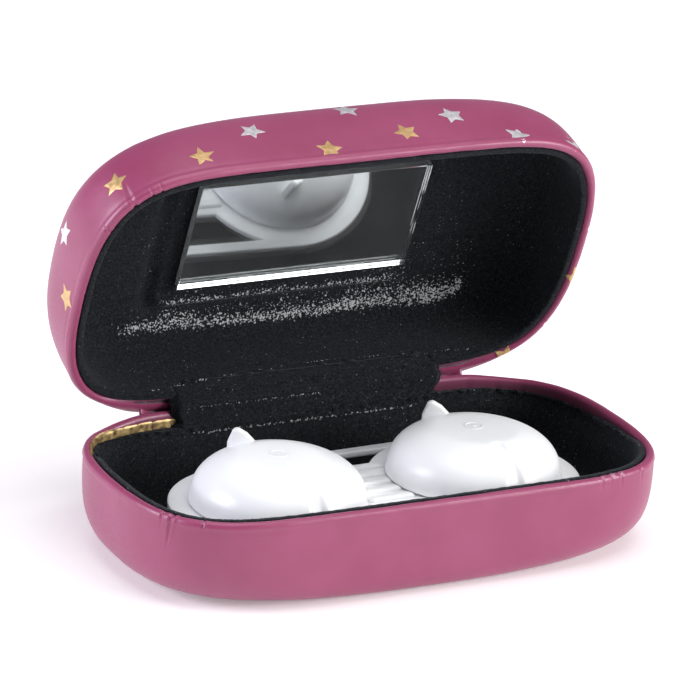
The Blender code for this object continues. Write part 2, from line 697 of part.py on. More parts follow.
def make_cap(name, side, place):
    """A domed screw cap with one finger ear at the back of its flat."""
    cap = turned(name, cap_profile(), WHITE)
    rise = EAR_RISE + EAR_FOOT
    half = EAR_LENGTH / 2
    tip = (EAR_TIP_PLACE * EAR_LENGTH, rise - EAR_TIP_RADIUS)
    shape = [(-half, 0.0), (half, -EAR_ROOT_DROP), (half, EAR_END_HEIGHTS[1] * rise)]
    shape += arc(tip, EAR_TIP_RADIUS, 15.0, 120.0, 6)
    shape += [(-half, EAR_END_HEIGHTS[0] * rise)]
    ear = as_cutter(flat_solid(name + "_ear", [shape], EAR_THICK, None))
    ear.rotation_euler = (math.radians(90.0), 0.0, EAR_TURN)
    ear.location = (*EAR_PLACE, CAP_HEIGHT - EAR_FOOT)
    ear.parent = cap
    boolean(cap, ear, "UNION")
    cap.location = (side * WELL_OFFSET, 0.0, FLANGE_TOP)
    cap.parent = place


# ---------------------------------------------------------------- assembly
def build():
    axis = (0.0, HINGE_Y, HINGE_Z)
    lid_axis = empty("lid_axis", axis, (-OPENING, 0.0, 0.0))
    make_base()
    lid_pieces = make_lid() + make_mirror()
    make_leaf("hinge_leaf_base", BASE_KNUCKLES, -1)
    lid_pieces += make_leaf("hinge_leaf_lid", LID_KNUCKLES, 1)
    make_pin()
    for index, x in enumerate(RIVET_XS):
        make_rivet(f"base_rivet_{index + 1}", x, -1)
        lid_pieces.append(make_rivet(f"lid_rivet_{index + 1}", x, 1))
    hang(lid_pieces, lid_axis, axis)
    make_spring("snap_spring_left", -SPRING_MIDDLE)
    make_spring("snap_spring_right", SPRING_MIDDLE)
    make_strips()
    holder_place = empty("holder_place", (HOLDER_X, HOLDER_Y, 0.0), (0.0, 0.0, HOLDER_TURN))
    make_holder(holder_place)
    make_cap("left_cap", -1, holder_place)
    make_cap("right_cap", 1, holder_place)
    bpy.context.view_layer.update()


build()
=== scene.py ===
"""Looks of the contact lens travel case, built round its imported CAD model.

Both halves of the case are redrawn as fine surfaces on one grid: columns run round the rim and rows
run from the leatherette's turn-in, over the rim and down the wall to the flat. Creases, the rim's
ridge, the lining and the printed stars are all placed on that grid, by millimetres round the rim
from the middle of the front (to +X) and millimetres below the rim. The lid is drawn closed and then
swung open about the hinge axis, as it stands at rest.
"""
import json
import math
import random
from dataclasses import dataclass

import bmesh
import bpy
import numpy as np
from mathutils import Matrix, Vector, noise


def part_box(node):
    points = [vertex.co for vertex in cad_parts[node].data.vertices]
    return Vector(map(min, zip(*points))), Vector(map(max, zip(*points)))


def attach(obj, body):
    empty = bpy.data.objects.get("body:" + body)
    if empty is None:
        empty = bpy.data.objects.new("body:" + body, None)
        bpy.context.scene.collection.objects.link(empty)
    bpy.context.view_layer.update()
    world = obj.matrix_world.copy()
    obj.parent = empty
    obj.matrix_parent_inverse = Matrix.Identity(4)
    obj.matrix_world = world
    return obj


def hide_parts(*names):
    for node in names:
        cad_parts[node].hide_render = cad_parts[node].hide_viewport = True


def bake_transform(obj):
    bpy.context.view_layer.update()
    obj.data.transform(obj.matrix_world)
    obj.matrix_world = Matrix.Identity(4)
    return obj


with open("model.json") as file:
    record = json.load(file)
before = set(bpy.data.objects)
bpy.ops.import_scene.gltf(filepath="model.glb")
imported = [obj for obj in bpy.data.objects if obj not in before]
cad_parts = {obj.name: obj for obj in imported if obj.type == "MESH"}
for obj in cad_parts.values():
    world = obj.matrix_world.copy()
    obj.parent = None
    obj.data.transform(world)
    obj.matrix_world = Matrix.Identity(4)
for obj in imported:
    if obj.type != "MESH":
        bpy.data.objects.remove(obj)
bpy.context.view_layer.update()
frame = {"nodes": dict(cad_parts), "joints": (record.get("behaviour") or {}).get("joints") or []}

# ---------------- driving dimensions
MM = 0.001
COVER_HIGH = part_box("base_cover")[1]
HALF_WIDTH, HALF_DEPTH, BASE_RIM = COVER_HIGH / MM          # from here on, millimetres
RIM_GAP = 0.3
LID_RIM = BASE_RIM + RIM_GAP

HINGE = next(joint for joint in frame["joints"] if joint["name"] == "lid_hinge")
HINGE_Y, HINGE_Z = (value / MM for value in HINGE["pos_m"][1:])
OPENING = math.radians(HINGE["range_deg"][1])
AXIS = Vector((0.0, HINGE_Y, HINGE_Z))

RIM_POWERS = (6.4, 2.65)        # outline exponents along x and y at the rim
FLAT_POWERS = (2.6, 2.5)        # and at the flat
FOLD_RADIUS = 0.75              # the leatherette's turn over the rim
TURN_IN = 3.5                   # how far it runs down inside
COVER_THICK = 0.35
LINING_DEPTH = 2.85             # lining's inner face, in from the outside of the case
LINING_FLOOR_DEPTH = 2.6
LINING_THICK = 0.5
LEDGE_OUTER = 1.62              # lining's top ledge starts this far in
ZONE_HALF = 24.0                # half length of the hinge's relief in the rims
NOTCH_TOP = 18.8                # lid's notch for the hinge reaches this height, closed
SPINE_HALF = 30.5               # half length of the leatherette spine, outside the hinge
STRIP_HALF = 25.6               # and of the flocked strip, inside it
STRIP_BASE_DROP = 3.3           # the strip's lower edge, below the base's rim
STRIP_LID_RISE = 3.0            # its upper edge, above the lid's rim
STRIP_INSET = 0.05              # its face, in from the linings'


@dataclass
class Half:
    """One half of the case, drawn closed."""
    name: str                   # its body's name
    rim: float
    direction: int              # 1 grows up from its rim, -1 down
    height: float
    run_x: float                # how far the wall leans in from the rim to the flat
    run_y: float
    power: float                # exponent of the wall's curve


BASE = Half("base", BASE_RIM, direction=-1, height=BASE_RIM, run_x=21.5, run_y=8.6, power=5.2)
LID = Half("lid", LID_RIM, direction=1, height=17.6, run_x=19.5, run_y=13.0, power=4.6)


# ---------------- soft curves
def smooth_step(value, low, high):
    share = np.clip((value - low) / (high - low), 0.0, 1.0)
    return share * share * (3 - 2 * share)


def band(value, low, rise, fall, high):
    """Smoothly up to 1 from low to rise, and back to 0 from fall to high."""
    return smooth_step(value, low, rise) * (1.0 - smooth_step(value, fall, high))


def bell(away, width):
    return np.exp(-(away / width) ** 2)


# ---------------- outline of the case
def quarter_shares(powers):
    """Values of |x/a|^px, in |x/a|^px + |y/b|^py = 1, close together all along a quarter."""
    half_share, count = 0.5, 400
    first = np.linspace(0.0, half_share ** (1 / powers[0]), count) ** powers[0]
    second = 1.0 - np.linspace(half_share ** (1 / powers[1]), 0.0, count)[1:] ** powers[1]
    return np.concatenate([first, second])


def quarter(half_x, half_y, powers):
    """A quarter outline from the y axis to the x axis, with its length so far at each point."""
    share = quarter_shares(powers)
    x = half_x * share ** (1 / powers[0])
    y = half_y * (1.0 - share) ** (1 / powers[1])
    length = np.concatenate([[0.0], np.cumsum(np.hypot(np.diff(x), np.diff(y)))])
    return x, y, length


QUARTER = quarter(HALF_WIDTH, HALF_DEPTH, RIM_POWERS)[2][-1]
ROUND = 4 * QUARTER             # the rim's length


def ring(half_x, half_y, powers, places):
    """Outline points at places round the rim, whichever ring it is."""
    x, y, length = quarter(half_x, half_y, powers)
    turns = places / QUARTER
    share = (1.0 - np.abs(turns % 2 - 1.0)) * length[-1]
    x, y = np.interp(share, length, x), np.interp(share, length, y)
    return np.where(turns < 2, x, -x), np.where((turns < 1) | (turns > 3), -y, y)


def place_of_back(x):
    """The place round the rim of a point of the back, x from the middle."""
    table_x, _, length = quarter(HALF_WIDTH, HALF_DEPTH, RIM_POWERS)
    along = np.interp(abs(x), table_x, length)
    return 2 * QUARTER - math.copysign(along, x)


CREASED = (-47.0, -41.0, 33.0)  # where the rim is creased
CREASED_DENSITY, CREASED_SPREAD = 1.6, 8.0
EVEN_COLUMNS = 540


def column_places():
    """Places round the rim of the grid's columns, closer where the rim is creased."""
    fine = np.linspace(0.0, ROUND, 8001)
    density = np.ones_like(fine)
    for place in CREASED:
        density += CREASED_DENSITY * bell(signed(fine - place), CREASED_SPREAD)
    total = np.concatenate([[0.0], np.cumsum((density[1:] + density[:-1]) / 2)])
    even = np.linspace(0.0, total[-1], EVEN_COLUMNS, endpoint=False)
    places = np.interp(even, total, fine)
    ends = [place_of_back(ZONE_HALF), place_of_back(-ZONE_HALF)]
    return np.sort(np.concatenate([places, ends]))


def signed(places):
    """Places round the rim as distances from the middle of the front, negative to -X."""
    return (np.asarray(places) + ROUND / 2) % ROUND - ROUND / 2


PLACES = column_places()
SIGNED = signed(PLACES)


# ---------------- the grid of one half
TURN_IN_ROWS, FOLD_ROWS, WALL_ROWS, FLAT_ROWS = 7, 13, 49, 9
ROW_CROWDING = 1.3              # how much closer the rows are near the rim
FLAT_REACH = 0.97               # how far in the flat's rows go, as a share


def wall_outline(half, rise, scale=1.0):
    """The outline at a rise, 0 at the rim and 1 at the flat."""
    inset = 1.0 - max(1.0 - rise ** half.power, 0.0) ** (1 / half.power)
    blend = rise ** 3
    powers = [rim + (flat - rim) * blend for rim, flat in zip(RIM_POWERS, FLAT_POWERS)]
    half_x = (HALF_WIDTH - half.run_x * inset) * scale
    half_y = (HALF_DEPTH - half.run_y * inset) * scale
    return ring(half_x, half_y, powers, PLACES)


def wall_rises(half, start, count):
    """Rises from a depth below the rim to the flat, closer together near the rim."""
    angle = np.linspace(0.0, math.pi / 2, 2000)
    rise = np.sin(angle) ** (2 / half.power)
    inset = 1.0 - np.cos(angle) ** (2 / half.power)
    run = (half.run_x + half.run_y) / 2
    steps = np.hypot(np.diff(rise) * half.height, np.diff(inset) * run)
    length = np.concatenate([[0.0], np.cumsum(steps)])
    begin = np.interp(start / half.height, rise, length)
    wanted = begin + (length[-1] - begin) * np.linspace(0.0, 1.0, count) ** ROW_CROWDING
    return np.interp(wanted, length, rise)


def unit(vectors):
    return vectors / np.maximum(np.linalg.norm(vectors, axis=-1, keepdims=True), 1e-9)


def grid_normals(points, direction):
    round_way = np.roll(points, -1, axis=1) - np.roll(points, 1, axis=1)
    down_way = np.gradient(points, axis=0)
    return unit(direction * np.cross(round_way, down_way))


def layer(x, y, height):
    return np.stack([x, y, np.full_like(x, height)], axis=-1)


def wall_grid(half, rises, flat_rows):
    """Points of the outer form through the given rises and on to the flat's middle."""
    rows = []
    for rise in rises:
        rows.append(layer(*wall_outline(half, rise), half.rim + half.direction * half.height * rise))
    top = half.rim + half.direction * half.height
    for index in range(1, flat_rows + 1):
        scale = 1.0 - FLAT_REACH * index / flat_rows
        rows.append(layer(*wall_outline(half, 1.0, scale), top))
    return np.array(rows)


def rim_rows(half, path):
    """Rows round the rim for a path of (inset, depth below the rim), and the way out."""
    rim = layer(*wall_outline(half, 0.0), half.rim)
    upright = np.array([rim, rim + (0.0, 0.0, half.direction)])
    outward = grid_normals(upright, half.direction)[0]
    rows = [rim - outward * inset + (0.0, 0.0, half.direction * depth) for inset, depth in path]
    return np.array(rows), outward


def cover_grid(half):
    """Points of the leatherette's outer face, and each row's depth (negative inside the rim)."""
    turned_in = np.linspace(FOLD_RADIUS + TURN_IN, FOLD_RADIUS, TURN_IN_ROWS + 1)[:-1]
    path = [(2 * FOLD_RADIUS, depth) for depth in turned_in]
    for angle in np.linspace(0.0, math.pi, FOLD_ROWS):
        path.append((FOLD_RADIUS * (1 + math.cos(angle)), FOLD_RADIUS * (1 - math.sin(angle))))
    drops = [-depth if inset > FOLD_RADIUS else depth for inset, depth in path]
    rises = wall_rises(half, FOLD_RADIUS, WALL_ROWS + 1)[1:]
    drops += list(rises * half.height) + [half.height + 1.0] * FLAT_ROWS
    points = np.concatenate([rim_rows(half, path)[0], wall_grid(half, rises, FLAT_ROWS)])
    return points, np.array(drops)


def noise_field(points, size, seed, octaves=3):
    """Smooth noise of the given grain size over the points, about -1 to 1."""
    shift = Vector((seed * 17.3, seed * 5.1, seed * 9.7))
    flat = points.reshape(-1, 3) / size
    values = [noise.fractal(Vector(point) + shift, 1.0, 2.0, octaves) for point in flat]
    return np.array(values).reshape(points.shape[:-1])


def crease(drops, place, start, end, depth, width, slant):
    """A pinched line across the rim: a valley with a soft ridge on each side."""
    across = signed(PLACES - place)[None, :] - slant * drops[:, None]
    along = band(drops, start - 0.5, start, start + (end - start) * 0.35, end)
    narrow = width * (1.0 - 0.5 * smooth_step(drops, start, end))[:, None]
    ridges = 0.45 * bell(across - 1.9 * narrow, narrow) + 0.30 * bell(across + 1.9 * narrow, narrow)
    return depth * (ridges - bell(across, narrow)) * along[:, None]


def rim_ridge(drops):
    """The edge of the board under the leatherette: a soft line just below the rim."""
    line = bell(drops - 1.0, 0.22) - 0.6 * bell(drops - 1.55, 0.35)
    return 0.09 * line[:, None] * (1.0 + 0.25 * np.sin(SIGNED / 7.0))[None, :]


# ---------------- meshes
def place_object(name, data):
    """A new object in the scene."""
    obj = bpy.data.objects.new(name, data)
    bpy.context.scene.collection.objects.link(obj)
    return obj


def add_mesh(name, verts, faces, material, smooth=True):
    mesh = bpy.data.meshes.new(name)
    mesh.from_pydata([tuple(v) for v in np.asarray(verts, float) * MM], [], faces)
    mesh.validate()
    if smooth:
        mesh.shade_smooth()
    mesh.materials.append(material)
    return place_object(name, mesh)


def grid_faces(rows, columns, direction, keep=None, wrap=True):
    """Quads of a grid, facing out; keep says which cells are there."""
    faces = []
    for row in range(rows - 1):
        for column in range(columns if wrap else columns - 1):
            if keep is not None and not keep[row, column]:
                continue
            following = (column + 1) % columns
            quad = [row * columns + column, row * columns + following,
                    (row + 1) * columns + following, (row + 1) * columns + column]
            faces.append(quad if direction > 0 else quad[::-1])
    return faces


def cap_face(rows, columns, direction):
    """One face over a grid's last row."""
    last = [(rows - 1) * columns + column for column in range(columns)]
    return last if direction > 0 else last[::-1]


def add_sheet(name, points, direction, material):
    """An open grid of points as a mesh."""
    faces = grid_faces(*points.shape[:2], direction, wrap=False)
    return add_mesh(name, points.reshape(-1, 3), faces, material)


def float_attribute(obj, name, values):
    attribute = obj.data.attributes.new(name, "FLOAT", "POINT")
    attribute.data.foreach_set("value", np.asarray(values, np.float32).ravel())


def evaluated_mesh(obj):
    """What an object's modifiers or curves make of it."""
    depsgraph = bpy.context.evaluated_depsgraph_get()
    return bpy.data.meshes.new_from_object(obj.evaluated_get(depsgraph))


def thicken(obj, thickness, offset=-1.0):
    """Solid thickness on the back of a sheet."""
    solid = obj.modifiers.new("thickness", "SOLIDIFY")
    solid.thickness = thickness * MM
    solid.offset = offset
    mesh = evaluated_mesh(obj)
    obj.modifiers.clear()
    obj.data = mesh


def swing_open(obj):
    """Takes a piece drawn on the closed lid to where the open lid stands at rest."""
    turn = Matrix.Rotation(-OPENING, 4, "X")
    axis = Matrix.Translation(AXIS * MM)
    obj.data.transform(axis @ turn @ axis.inverted())


def finish_piece(obj, body, replaced=()):
    """Gives a piece its body and the CAD nodes it takes the place of."""
    if body == "lid":
        swing_open(obj)
    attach(obj, body)
    if replaced:
        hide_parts(*replaced)
    return obj


# ---------------- materials
class Paint:
    """A procedural material. Values are numbers, colours or other nodes' outputs."""

    def __init__(self, name, metallic=0.0):
        self.material = bpy.data.materials.new(name)
        self.material.use_nodes = True
        self.tree = self.material.node_tree
        self.shader = self.tree.nodes["Principled BSDF"]
        self.set({"Metallic": metallic})

    def feed(self, inputs, values):
        for key, value in values.items():
            socket = inputs[key]
            if isinstance(value, bpy.types.NodeSocket):
                self.tree.links.new(value, socket)
            else:
                socket.default_value = (*value, 1.0) if socket.type == "RGBA" else value

    def set(self, values):
        self.feed(self.shader.inputs, values)

    def node(self, kind, output, values, **settings):
        node = self.tree.nodes.new("ShaderNode" + kind)
        for name, setting in settings.items():
            setattr(node, name, setting)
        self.feed(node.inputs, values)
        return node.outputs[output]

    def noise(self, size_mm, detail=2.0, kind="TexNoise"):
        """A pattern of a real size, laid in the object's own space."""
        place = self.node("TexCoord", "Object", {})
        return self.node(kind, 0, {"Scale": 1.0 / (size_mm * MM), "Detail": detail, "Vector": place})

    def ramp(self, value, first, last, low=0.3, high=0.7):
        """One colour at the low value, another at the high one."""
        node = self.tree.nodes.new("ShaderNodeValToRGB")
        stops = ((low, first), (high, last))
        for element, (position, colour) in zip(node.color_ramp.elements, stops):
            element.position = position
            element.color = (*colour, 1.0)
        self.feed(node.inputs, {"Fac": value})
        return node.outputs["Color"]

    def span(self, value, first, last, low=0.3, high=0.7):
        """One number at the low value, another at the high one."""
        limits = {"From Min": low, "From Max": high, "To Min": first, "To Max": last}
        return self.node("MapRange", "Result", {"Value": value, **limits})

    def mix(self, factor, first, second):
        """A mix of two colours."""
        return self.node("Mix", 2, {"Factor": factor, 6: first, 7: second}, data_type="RGBA")

    def attribute(self, name):
        return self.node("Attribute", "Fac", {}, attribute_name=name)

    def math(self, operation, first, second):
        return self.node("Math", "Value", {0: first, 1: second}, operation=operation)

    def bump(self, height, distance_mm):
        values = {"Distance": distance_mm * MM, "Height": height}
        self.set({"Normal": self.node("Bump", "Normal", values)})


def leatherette():
    """Satin rose leatherette: faint mottling, fine grain, paler at spots that are partly real wear
    and partly painted highlight, and darker on the turn-in with painted shade.
    """
    paint = Paint("leatherette")
    grain = paint.noise(0.35)
    tone = paint.ramp(paint.noise(9.0, detail=3.0), (0.272, 0.033, 0.102), (0.306, 0.044, 0.126))
    # painted shade: the turn-in inside the rim darkened towards a deep rose
    tone = paint.mix(paint.attribute("painted_shade"), tone, (0.060, 0.012, 0.026))
    # paler spots: real wear at the nicks, painted highlight on the crinkles' raised fold edges
    paint.set({"Base Color": paint.mix(paint.attribute("wear_and_glint"), tone, (0.80, 0.62, 0.68)),
               "Roughness": paint.span(grain, 0.34, 0.46), "Specular IOR Level": 0.65,
               "Sheen Weight": 0.12, "Sheen Roughness": 0.5, "Sheen Tint": (1.0, 0.82, 0.92)})
    paint.bump(grain, 0.012)
    return paint.material


def flock():
    """Black flocked plastic: soft and grainy, with pale flecks in random patches and as painted
    highlights where ridges, beads, seams and ledges catch the light.
    """
    paint = Paint("flock")
    grain, fleck = paint.noise(0.40, detail=4.0), paint.noise(0.34, detail=3.0)
    tone = paint.ramp(grain, (0.0020, 0.0024, 0.0030), (0.0175, 0.0190, 0.0225), 0.33, 0.68)
    patches = paint.span(paint.noise(6.0, detail=3.0), 0.0, 0.35, 0.35)
    tone = paint.mix(patches, tone, (0.009, 0.010, 0.012))
    tone = paint.mix(paint.span(fleck, 0.0, 1.0, 0.54), tone, (0.028, 0.030, 0.034))
    # pale flecks where the attribute is high: random patches, and painted highlight on ridges, beads,
    # seams and ledges
    flecks_and_glint = paint.math("MULTIPLY", paint.attribute("flecks_and_glint"), 0.26)
    shown = paint.span(paint.math("ADD", fleck, flecks_and_glint), 0.0, 1.0, 0.74, 0.79)
    paint.set({"Base Color": paint.mix(shown, tone, (0.45, 0.46, 0.47)), "Roughness": 0.95,
               "Specular IOR Level": 0.12, "Sheen Weight": 0.08, "Sheen Roughness": 0.5,
               "Sheen Tint": (0.75, 0.80, 0.88)})
    paint.bump(grain, 0.10)
    return paint.material


def foil(name, dark, light, wrinkle_mm):
    """Hot-stamped metal foil, a little worn through."""
    paint = Paint(name, 0.6)
    patches = paint.noise(0.9, detail=3.0)
    paint.set({"Base Color": paint.ramp(patches, dark, light),
               "Roughness": paint.span(patches, 0.28, 0.5)})
    paint.bump(paint.noise(wrinkle_mm), 0.02)
    return paint.material


def white_plastic():
    """Glossy moulded white plastic."""
    paint = Paint("white_plastic")
    cloud = paint.noise(6.0)
    paint.set({"Base Color": paint.ramp(cloud, (0.88, 0.885, 0.90), (0.90, 0.905, 0.92)),
               "Roughness": paint.span(cloud, 0.30, 0.34), "Subsurface Weight": 0.12,
               "Subsurface Radius": (1.0, 0.9, 0.8), "Subsurface Scale": 1.5 * MM})
    paint.bump(paint.noise(0.6), 0.002)
    return paint.material


def glass():
    """Clear mirror glass, a little dusty."""
    paint = Paint("mirror_glass")
    paint.set({"Base Color": (0.97, 1.0, 0.99), "Transmission Weight": 1.0, "IOR": 1.5,
               "Roughness": paint.span(paint.noise(0.5, detail=4.0), 0.0, 0.04, 0.62, 0.85)})
    return paint.material


def silvering():
    """The mirror's silvered back."""
    paint = Paint("silvering", 0.93)
    cloud = paint.noise(3.0, detail=3.0)
    paint.set({"Base Color": paint.ramp(cloud, (0.90, 0.92, 0.93), (0.94, 0.96, 0.97)),
               "Roughness": 0.02})
    return paint.material


def steel():
    """Pressed steel with a faint grain and dull patches."""
    paint = Paint("steel", 1.0)
    patches = paint.noise(2.0, detail=4.0)
    paint.set({"Base Color": paint.ramp(patches, (0.42, 0.42, 0.43), (0.60, 0.60, 0.61)),
               "Roughness": paint.span(patches, 0.25, 0.5)})
    paint.bump(paint.noise(0.3), 0.01)
    return paint.material


def foam():
    """Foam tape with small cells."""
    paint = Paint("foam_tape")
    cells = paint.noise(0.3, detail=0.0, kind="TexVoronoi")
    tone = paint.ramp(cells, (0.55, 0.55, 0.53), (0.80, 0.80, 0.78), 0.0, 0.6)
    paint.set({"Base Color": tone, "Roughness": 0.9})
    paint.bump(cells, 0.1)
    return paint.material


def fibre():
    """Loose fibres of flock, some of them pale."""
    paint = Paint("flock_fibre")
    tone = paint.ramp(paint.noise(0.7), (0.02, 0.02, 0.023), (0.20, 0.21, 0.22), 0.35, 0.65)
    paint.set({"Base Color": tone, "Roughness": 0.8, "Sheen Weight": 0.5})
    return paint.material


def paper():
    """The pale floor, glowing faintly."""
    paint = Paint("paper")
    tone = paint.ramp(paint.noise(40.0), (0.90, 0.90, 0.90), (0.92, 0.92, 0.92))
    paint.set({"Base Color": tone, "Roughness": 0.9, "Specular IOR Level": 0.1,
               "Emission Color": (1.0, 1.0, 1.0), "Emission Strength": 0.22})
    return paint.material


LEATHERETTE = leatherette()
FLOCK = flock()
GOLD = foil("gold_foil", (0.62, 0.39, 0.17), (0.82, 0.56, 0.28), 0.5)
GOLD_LEATHERETTE = foil("gold_leatherette", (0.16, 0.10, 0.035), (0.62, 0.44, 0.20), 0.8)
SILVER = foil("silver_foil", (0.70, 0.67, 0.70), (0.86, 0.83, 0.86), 0.5)
WHITE = white_plastic()
GLASS = glass()
SILVERING = silvering()
STEEL = steel()
FOAM = foam()
FIBRE = fibre()


# ---------------- covers
# creases across the rim: place round it, start and end below it, depth, width, slant
BASE_CREASES = (
    (-47.3, 0.0, 6.4, 0.25, 0.34, -0.12), (-49.2, 0.1, 2.6, 0.16, 0.28, -0.05),
    (-41.7, 0.2, 1.3, 0.20, 0.22, 0.0), (30.0, 0.1, 2.6, 0.10, 0.30, 0.10),
    (31.9, 0.0, 1.8, 0.12, 0.25, 0.0), (34.0, 0.0, 2.8, 0.14, 0.30, 0.15),
    (39.2, -0.2, 3.4, 0.13, 0.35, 0.10), (-60.5, 0.0, 2.2, 0.08, 0.40, 0.1),
    (98.4, -4.2, 0.1, 0.34, 0.28, 0.0), (93.1, -4.2, 0.1, 0.40, 0.32, 0.1),
    (88.1, -4.2, 0.0, 0.30, 0.28, 0.0), (80.5, -4.2, 0.0, 0.25, 0.40, 0.0),
    (72.0, -4.2, -0.2, 0.20, 0.45, 0.0),
)
LID_CREASES = (
    (-42.6, -0.3, 5.0, 0.16, 0.40, 0.12), (-37.2, -0.2, 1.6, 0.12, 0.22, 0.0),
    (-38.9, -0.2, 1.9, 0.14, 0.22, 0.0), (-49.1, -0.2, 1.8, 0.13, 0.25, 0.0),
    (-63.0, -0.2, 2.0, 0.11, 0.30, 0.0), (48.0, -0.2, 2.0, 0.12, 0.30, 0.0),
    (61.0, -0.2, 1.5, 0.10, 0.30, 0.0), (82.0, -0.2, 1.8, 0.10, 0.30, 0.0),
)
# pale spots on the base's rim, real wear at the nicks and painted highlight on the crinkles' fold
# edges: place, spread round the rim, strength
WEAR_AND_GLINT = ((30.4, 0.3, 0.25), (32.6, 0.5, 0.4), (34.4, 0.3, 0.4), (-41.7, 0.15, 0.3), (-47.9, 0.2, 0.2))
CUT_DROP = 0.3                  # the hinge's relief reaches this far below the rim
GATHER_UP = {"base": 0.80, "lid": 0.70}     # how far the rims are drawn up beside the hinge
GATHER_OUT = 1.85               # and the lid's edge outwards


def hinge_cut(half, points, drops):
    """Which cells of the cover are left beside the hinge's relief."""
    middle = (points[:-1] + points[1:]) / 2
    middle = (middle + np.roll(middle, -1, axis=1)) / 2
    in_zone = (np.abs(middle[..., 0]) < ZONE_HALF) & (middle[..., 1] > 0)
    cut = ((drops[:-1] + drops[1:]) / 2 < CUT_DROP)[:, None]
    if half is LID:
        cut = cut | (middle[..., 2] < NOTCH_TOP)
    return ~(in_zone & cut)


def hinge_gather(half, points, drops):
    """How the leatherette is drawn together at the hinge's ends, where the open rims meet."""
    x = np.abs(points[..., 0])
    near = (points[..., 1] > 0) * (1.0 - smooth_step(x, 29.0, 40.0))
    moved = np.zeros_like(points)
    moved[..., 2] = near * bell(drops, 1.9)[:, None] * GATHER_UP[half.name]
    if half is LID:
        moved[..., 1] = near * band(drops, -0.75, 0.9, 1.6, 4.5)[:, None] * GATHER_OUT
    return moved


TURN_IN_SHADE = 0.75                   # how dark the painted shade on the turn-in is


def make_cover(half, creases, seed):
    """One half's leatherette, creased where it is gathered round the corners."""
    points, drops = cover_grid(half)
    shape = points.shape[:2]
    normals = grid_normals(points, half.direction)
    near_rim = 1.0 - smooth_step(np.abs(drops), 0.0, 7.0)
    relief = sum(crease(drops, *line) for line in creases) + rim_ridge(drops)
    relief += 0.05 * noise_field(points, size=5.0, seed=seed) * (0.35 + near_rim)[:, None]
    relief += 0.05 * noise_field(points, size=14.0, seed=seed + 1)
    relief[-FLAT_ROWS - 1:] *= 0.3
    points = points + normals * relief[..., None] + hinge_gather(half, points, drops)
    faces = grid_faces(*shape, half.direction, hinge_cut(half, points, drops))
    faces.append(cap_face(*shape, half.direction))
    obj = add_mesh(half.name + "_leatherette", points.reshape(-1, 3), faces, LEATHERETTE)
    # pale spots on the rim: real wear at the nicks, painted highlight on the crinkles' fold edges
    wear_and_glint = np.zeros(shape)
    if half is BASE:
        speckle = noise_field(points, size=0.8, seed=seed + 2) > -0.1
        for place, spread, strength in WEAR_AND_GLINT:
            across, along = bell(signed(PLACES - place), spread), bell(drops - 0.15, 0.22)
            wear_and_glint += strength * across[None, :] * along[:, None] * speckle
    float_attribute(obj, "wear_and_glint", np.clip(wear_and_glint, 0.0, 1.0))
    # painted shade on the turn-in, where it runs down inside the rim
    painted_shade = TURN_IN_SHADE * smooth_step(-drops, 0.1, 1.2)[:, None]
    float_attribute(obj, "painted_shade", np.broadcast_to(painted_shade, shape))
    thicken(obj, COVER_THICK)
    finish_piece(obj, half.name, (half.name + "_cover",))


# ---------------- linings
LINING_WALL_ROWS, LINING_FLOOR_ROWS = 58, 22
LINING_ROW_REACH = 0.98         # how far in the floor's rows go, as a share
LID_NARROWER = -2.0             # the lid's lining is cut this much less far round the hinge
# the ledge's rows: inset from the outside of the case, depth below the lining's edge
LEDGE = (
    (LEDGE_OUTER, 0.30), (LEDGE_OUTER + 0.03, 0.10), (LEDGE_OUTER + 0.14, 0.0), (2.0, -0.02),
    (2.35, 0.0), (2.62, 0.04), (2.78, 0.16), (LINING_DEPTH - 0.02, 0.38),
)
MIRROR_HALF_X, MIRROR_HALF_Y, MIRROR_THICK = 21.5, 11.0, 1.4
PAD_HALF_X, PAD_HALF_Y, PAD_CORNER = 24.1, 15.1, 2.2    # the lining's pressed pad round the mirror
CEILING = (LID_RIM + 10.5, LID_RIM + 13.5)      # heights between which the wall becomes the ceiling
RIDGE_LEVEL = LID_RIM + 14.35   # the ridge at the ceiling's back, in its middle, painted with a highlight of pale flecks
LID_SEAM_LEVEL = LID_RIM + 4.0  # the fold line in the lid's back wall, in its middle
RIDGE_FROM = 8.0                # it is behind this y


def hinge_share(extra=0.0):
    """1 for the columns behind the hinge, 0 for the rest."""
    away = np.abs(ROUND / 2 - PLACES)
    return 1 - smooth_step(away, ZONE_HALF + extra, ZONE_HALF + extra + 2.5)


def lining_edge(half):
    """Depth of the lining's edge below the rim at each column."""
    if half is LID:
        return 0.35 + 2.0 * hinge_share(LID_NARROWER)
    edge = np.full_like(PLACES, 0.12)
    edge += 0.9 * smooth_step(SIGNED, 50.0, 60.0) + 0.9 * smooth_step(SIGNED, 60.0, 74.0)
    edge -= 0.6 * smooth_step(SIGNED, 86.0, 99.0)
    edge += 1.0 * smooth_step(-SIGNED, 74.0, 80.0) + 0.7 * smooth_step(-SIGNED, 84.0, 92.0)
    return edge


def ledge_width(half):
    """How much of the lining's flat ledge there is: little where its edge dips under the turn-in."""
    if half is LID:
        return 1.0 - 0.96 * hinge_share(LID_NARROWER)
    dipped = np.maximum(band(SIGNED, 56.0, 76.0, 90.0, 100.0), band(-SIGNED, 76.0, 84.0, 92.0, 100.0))
    return 1.0 - np.maximum(0.72 * dipped, 0.96 * hinge_share())


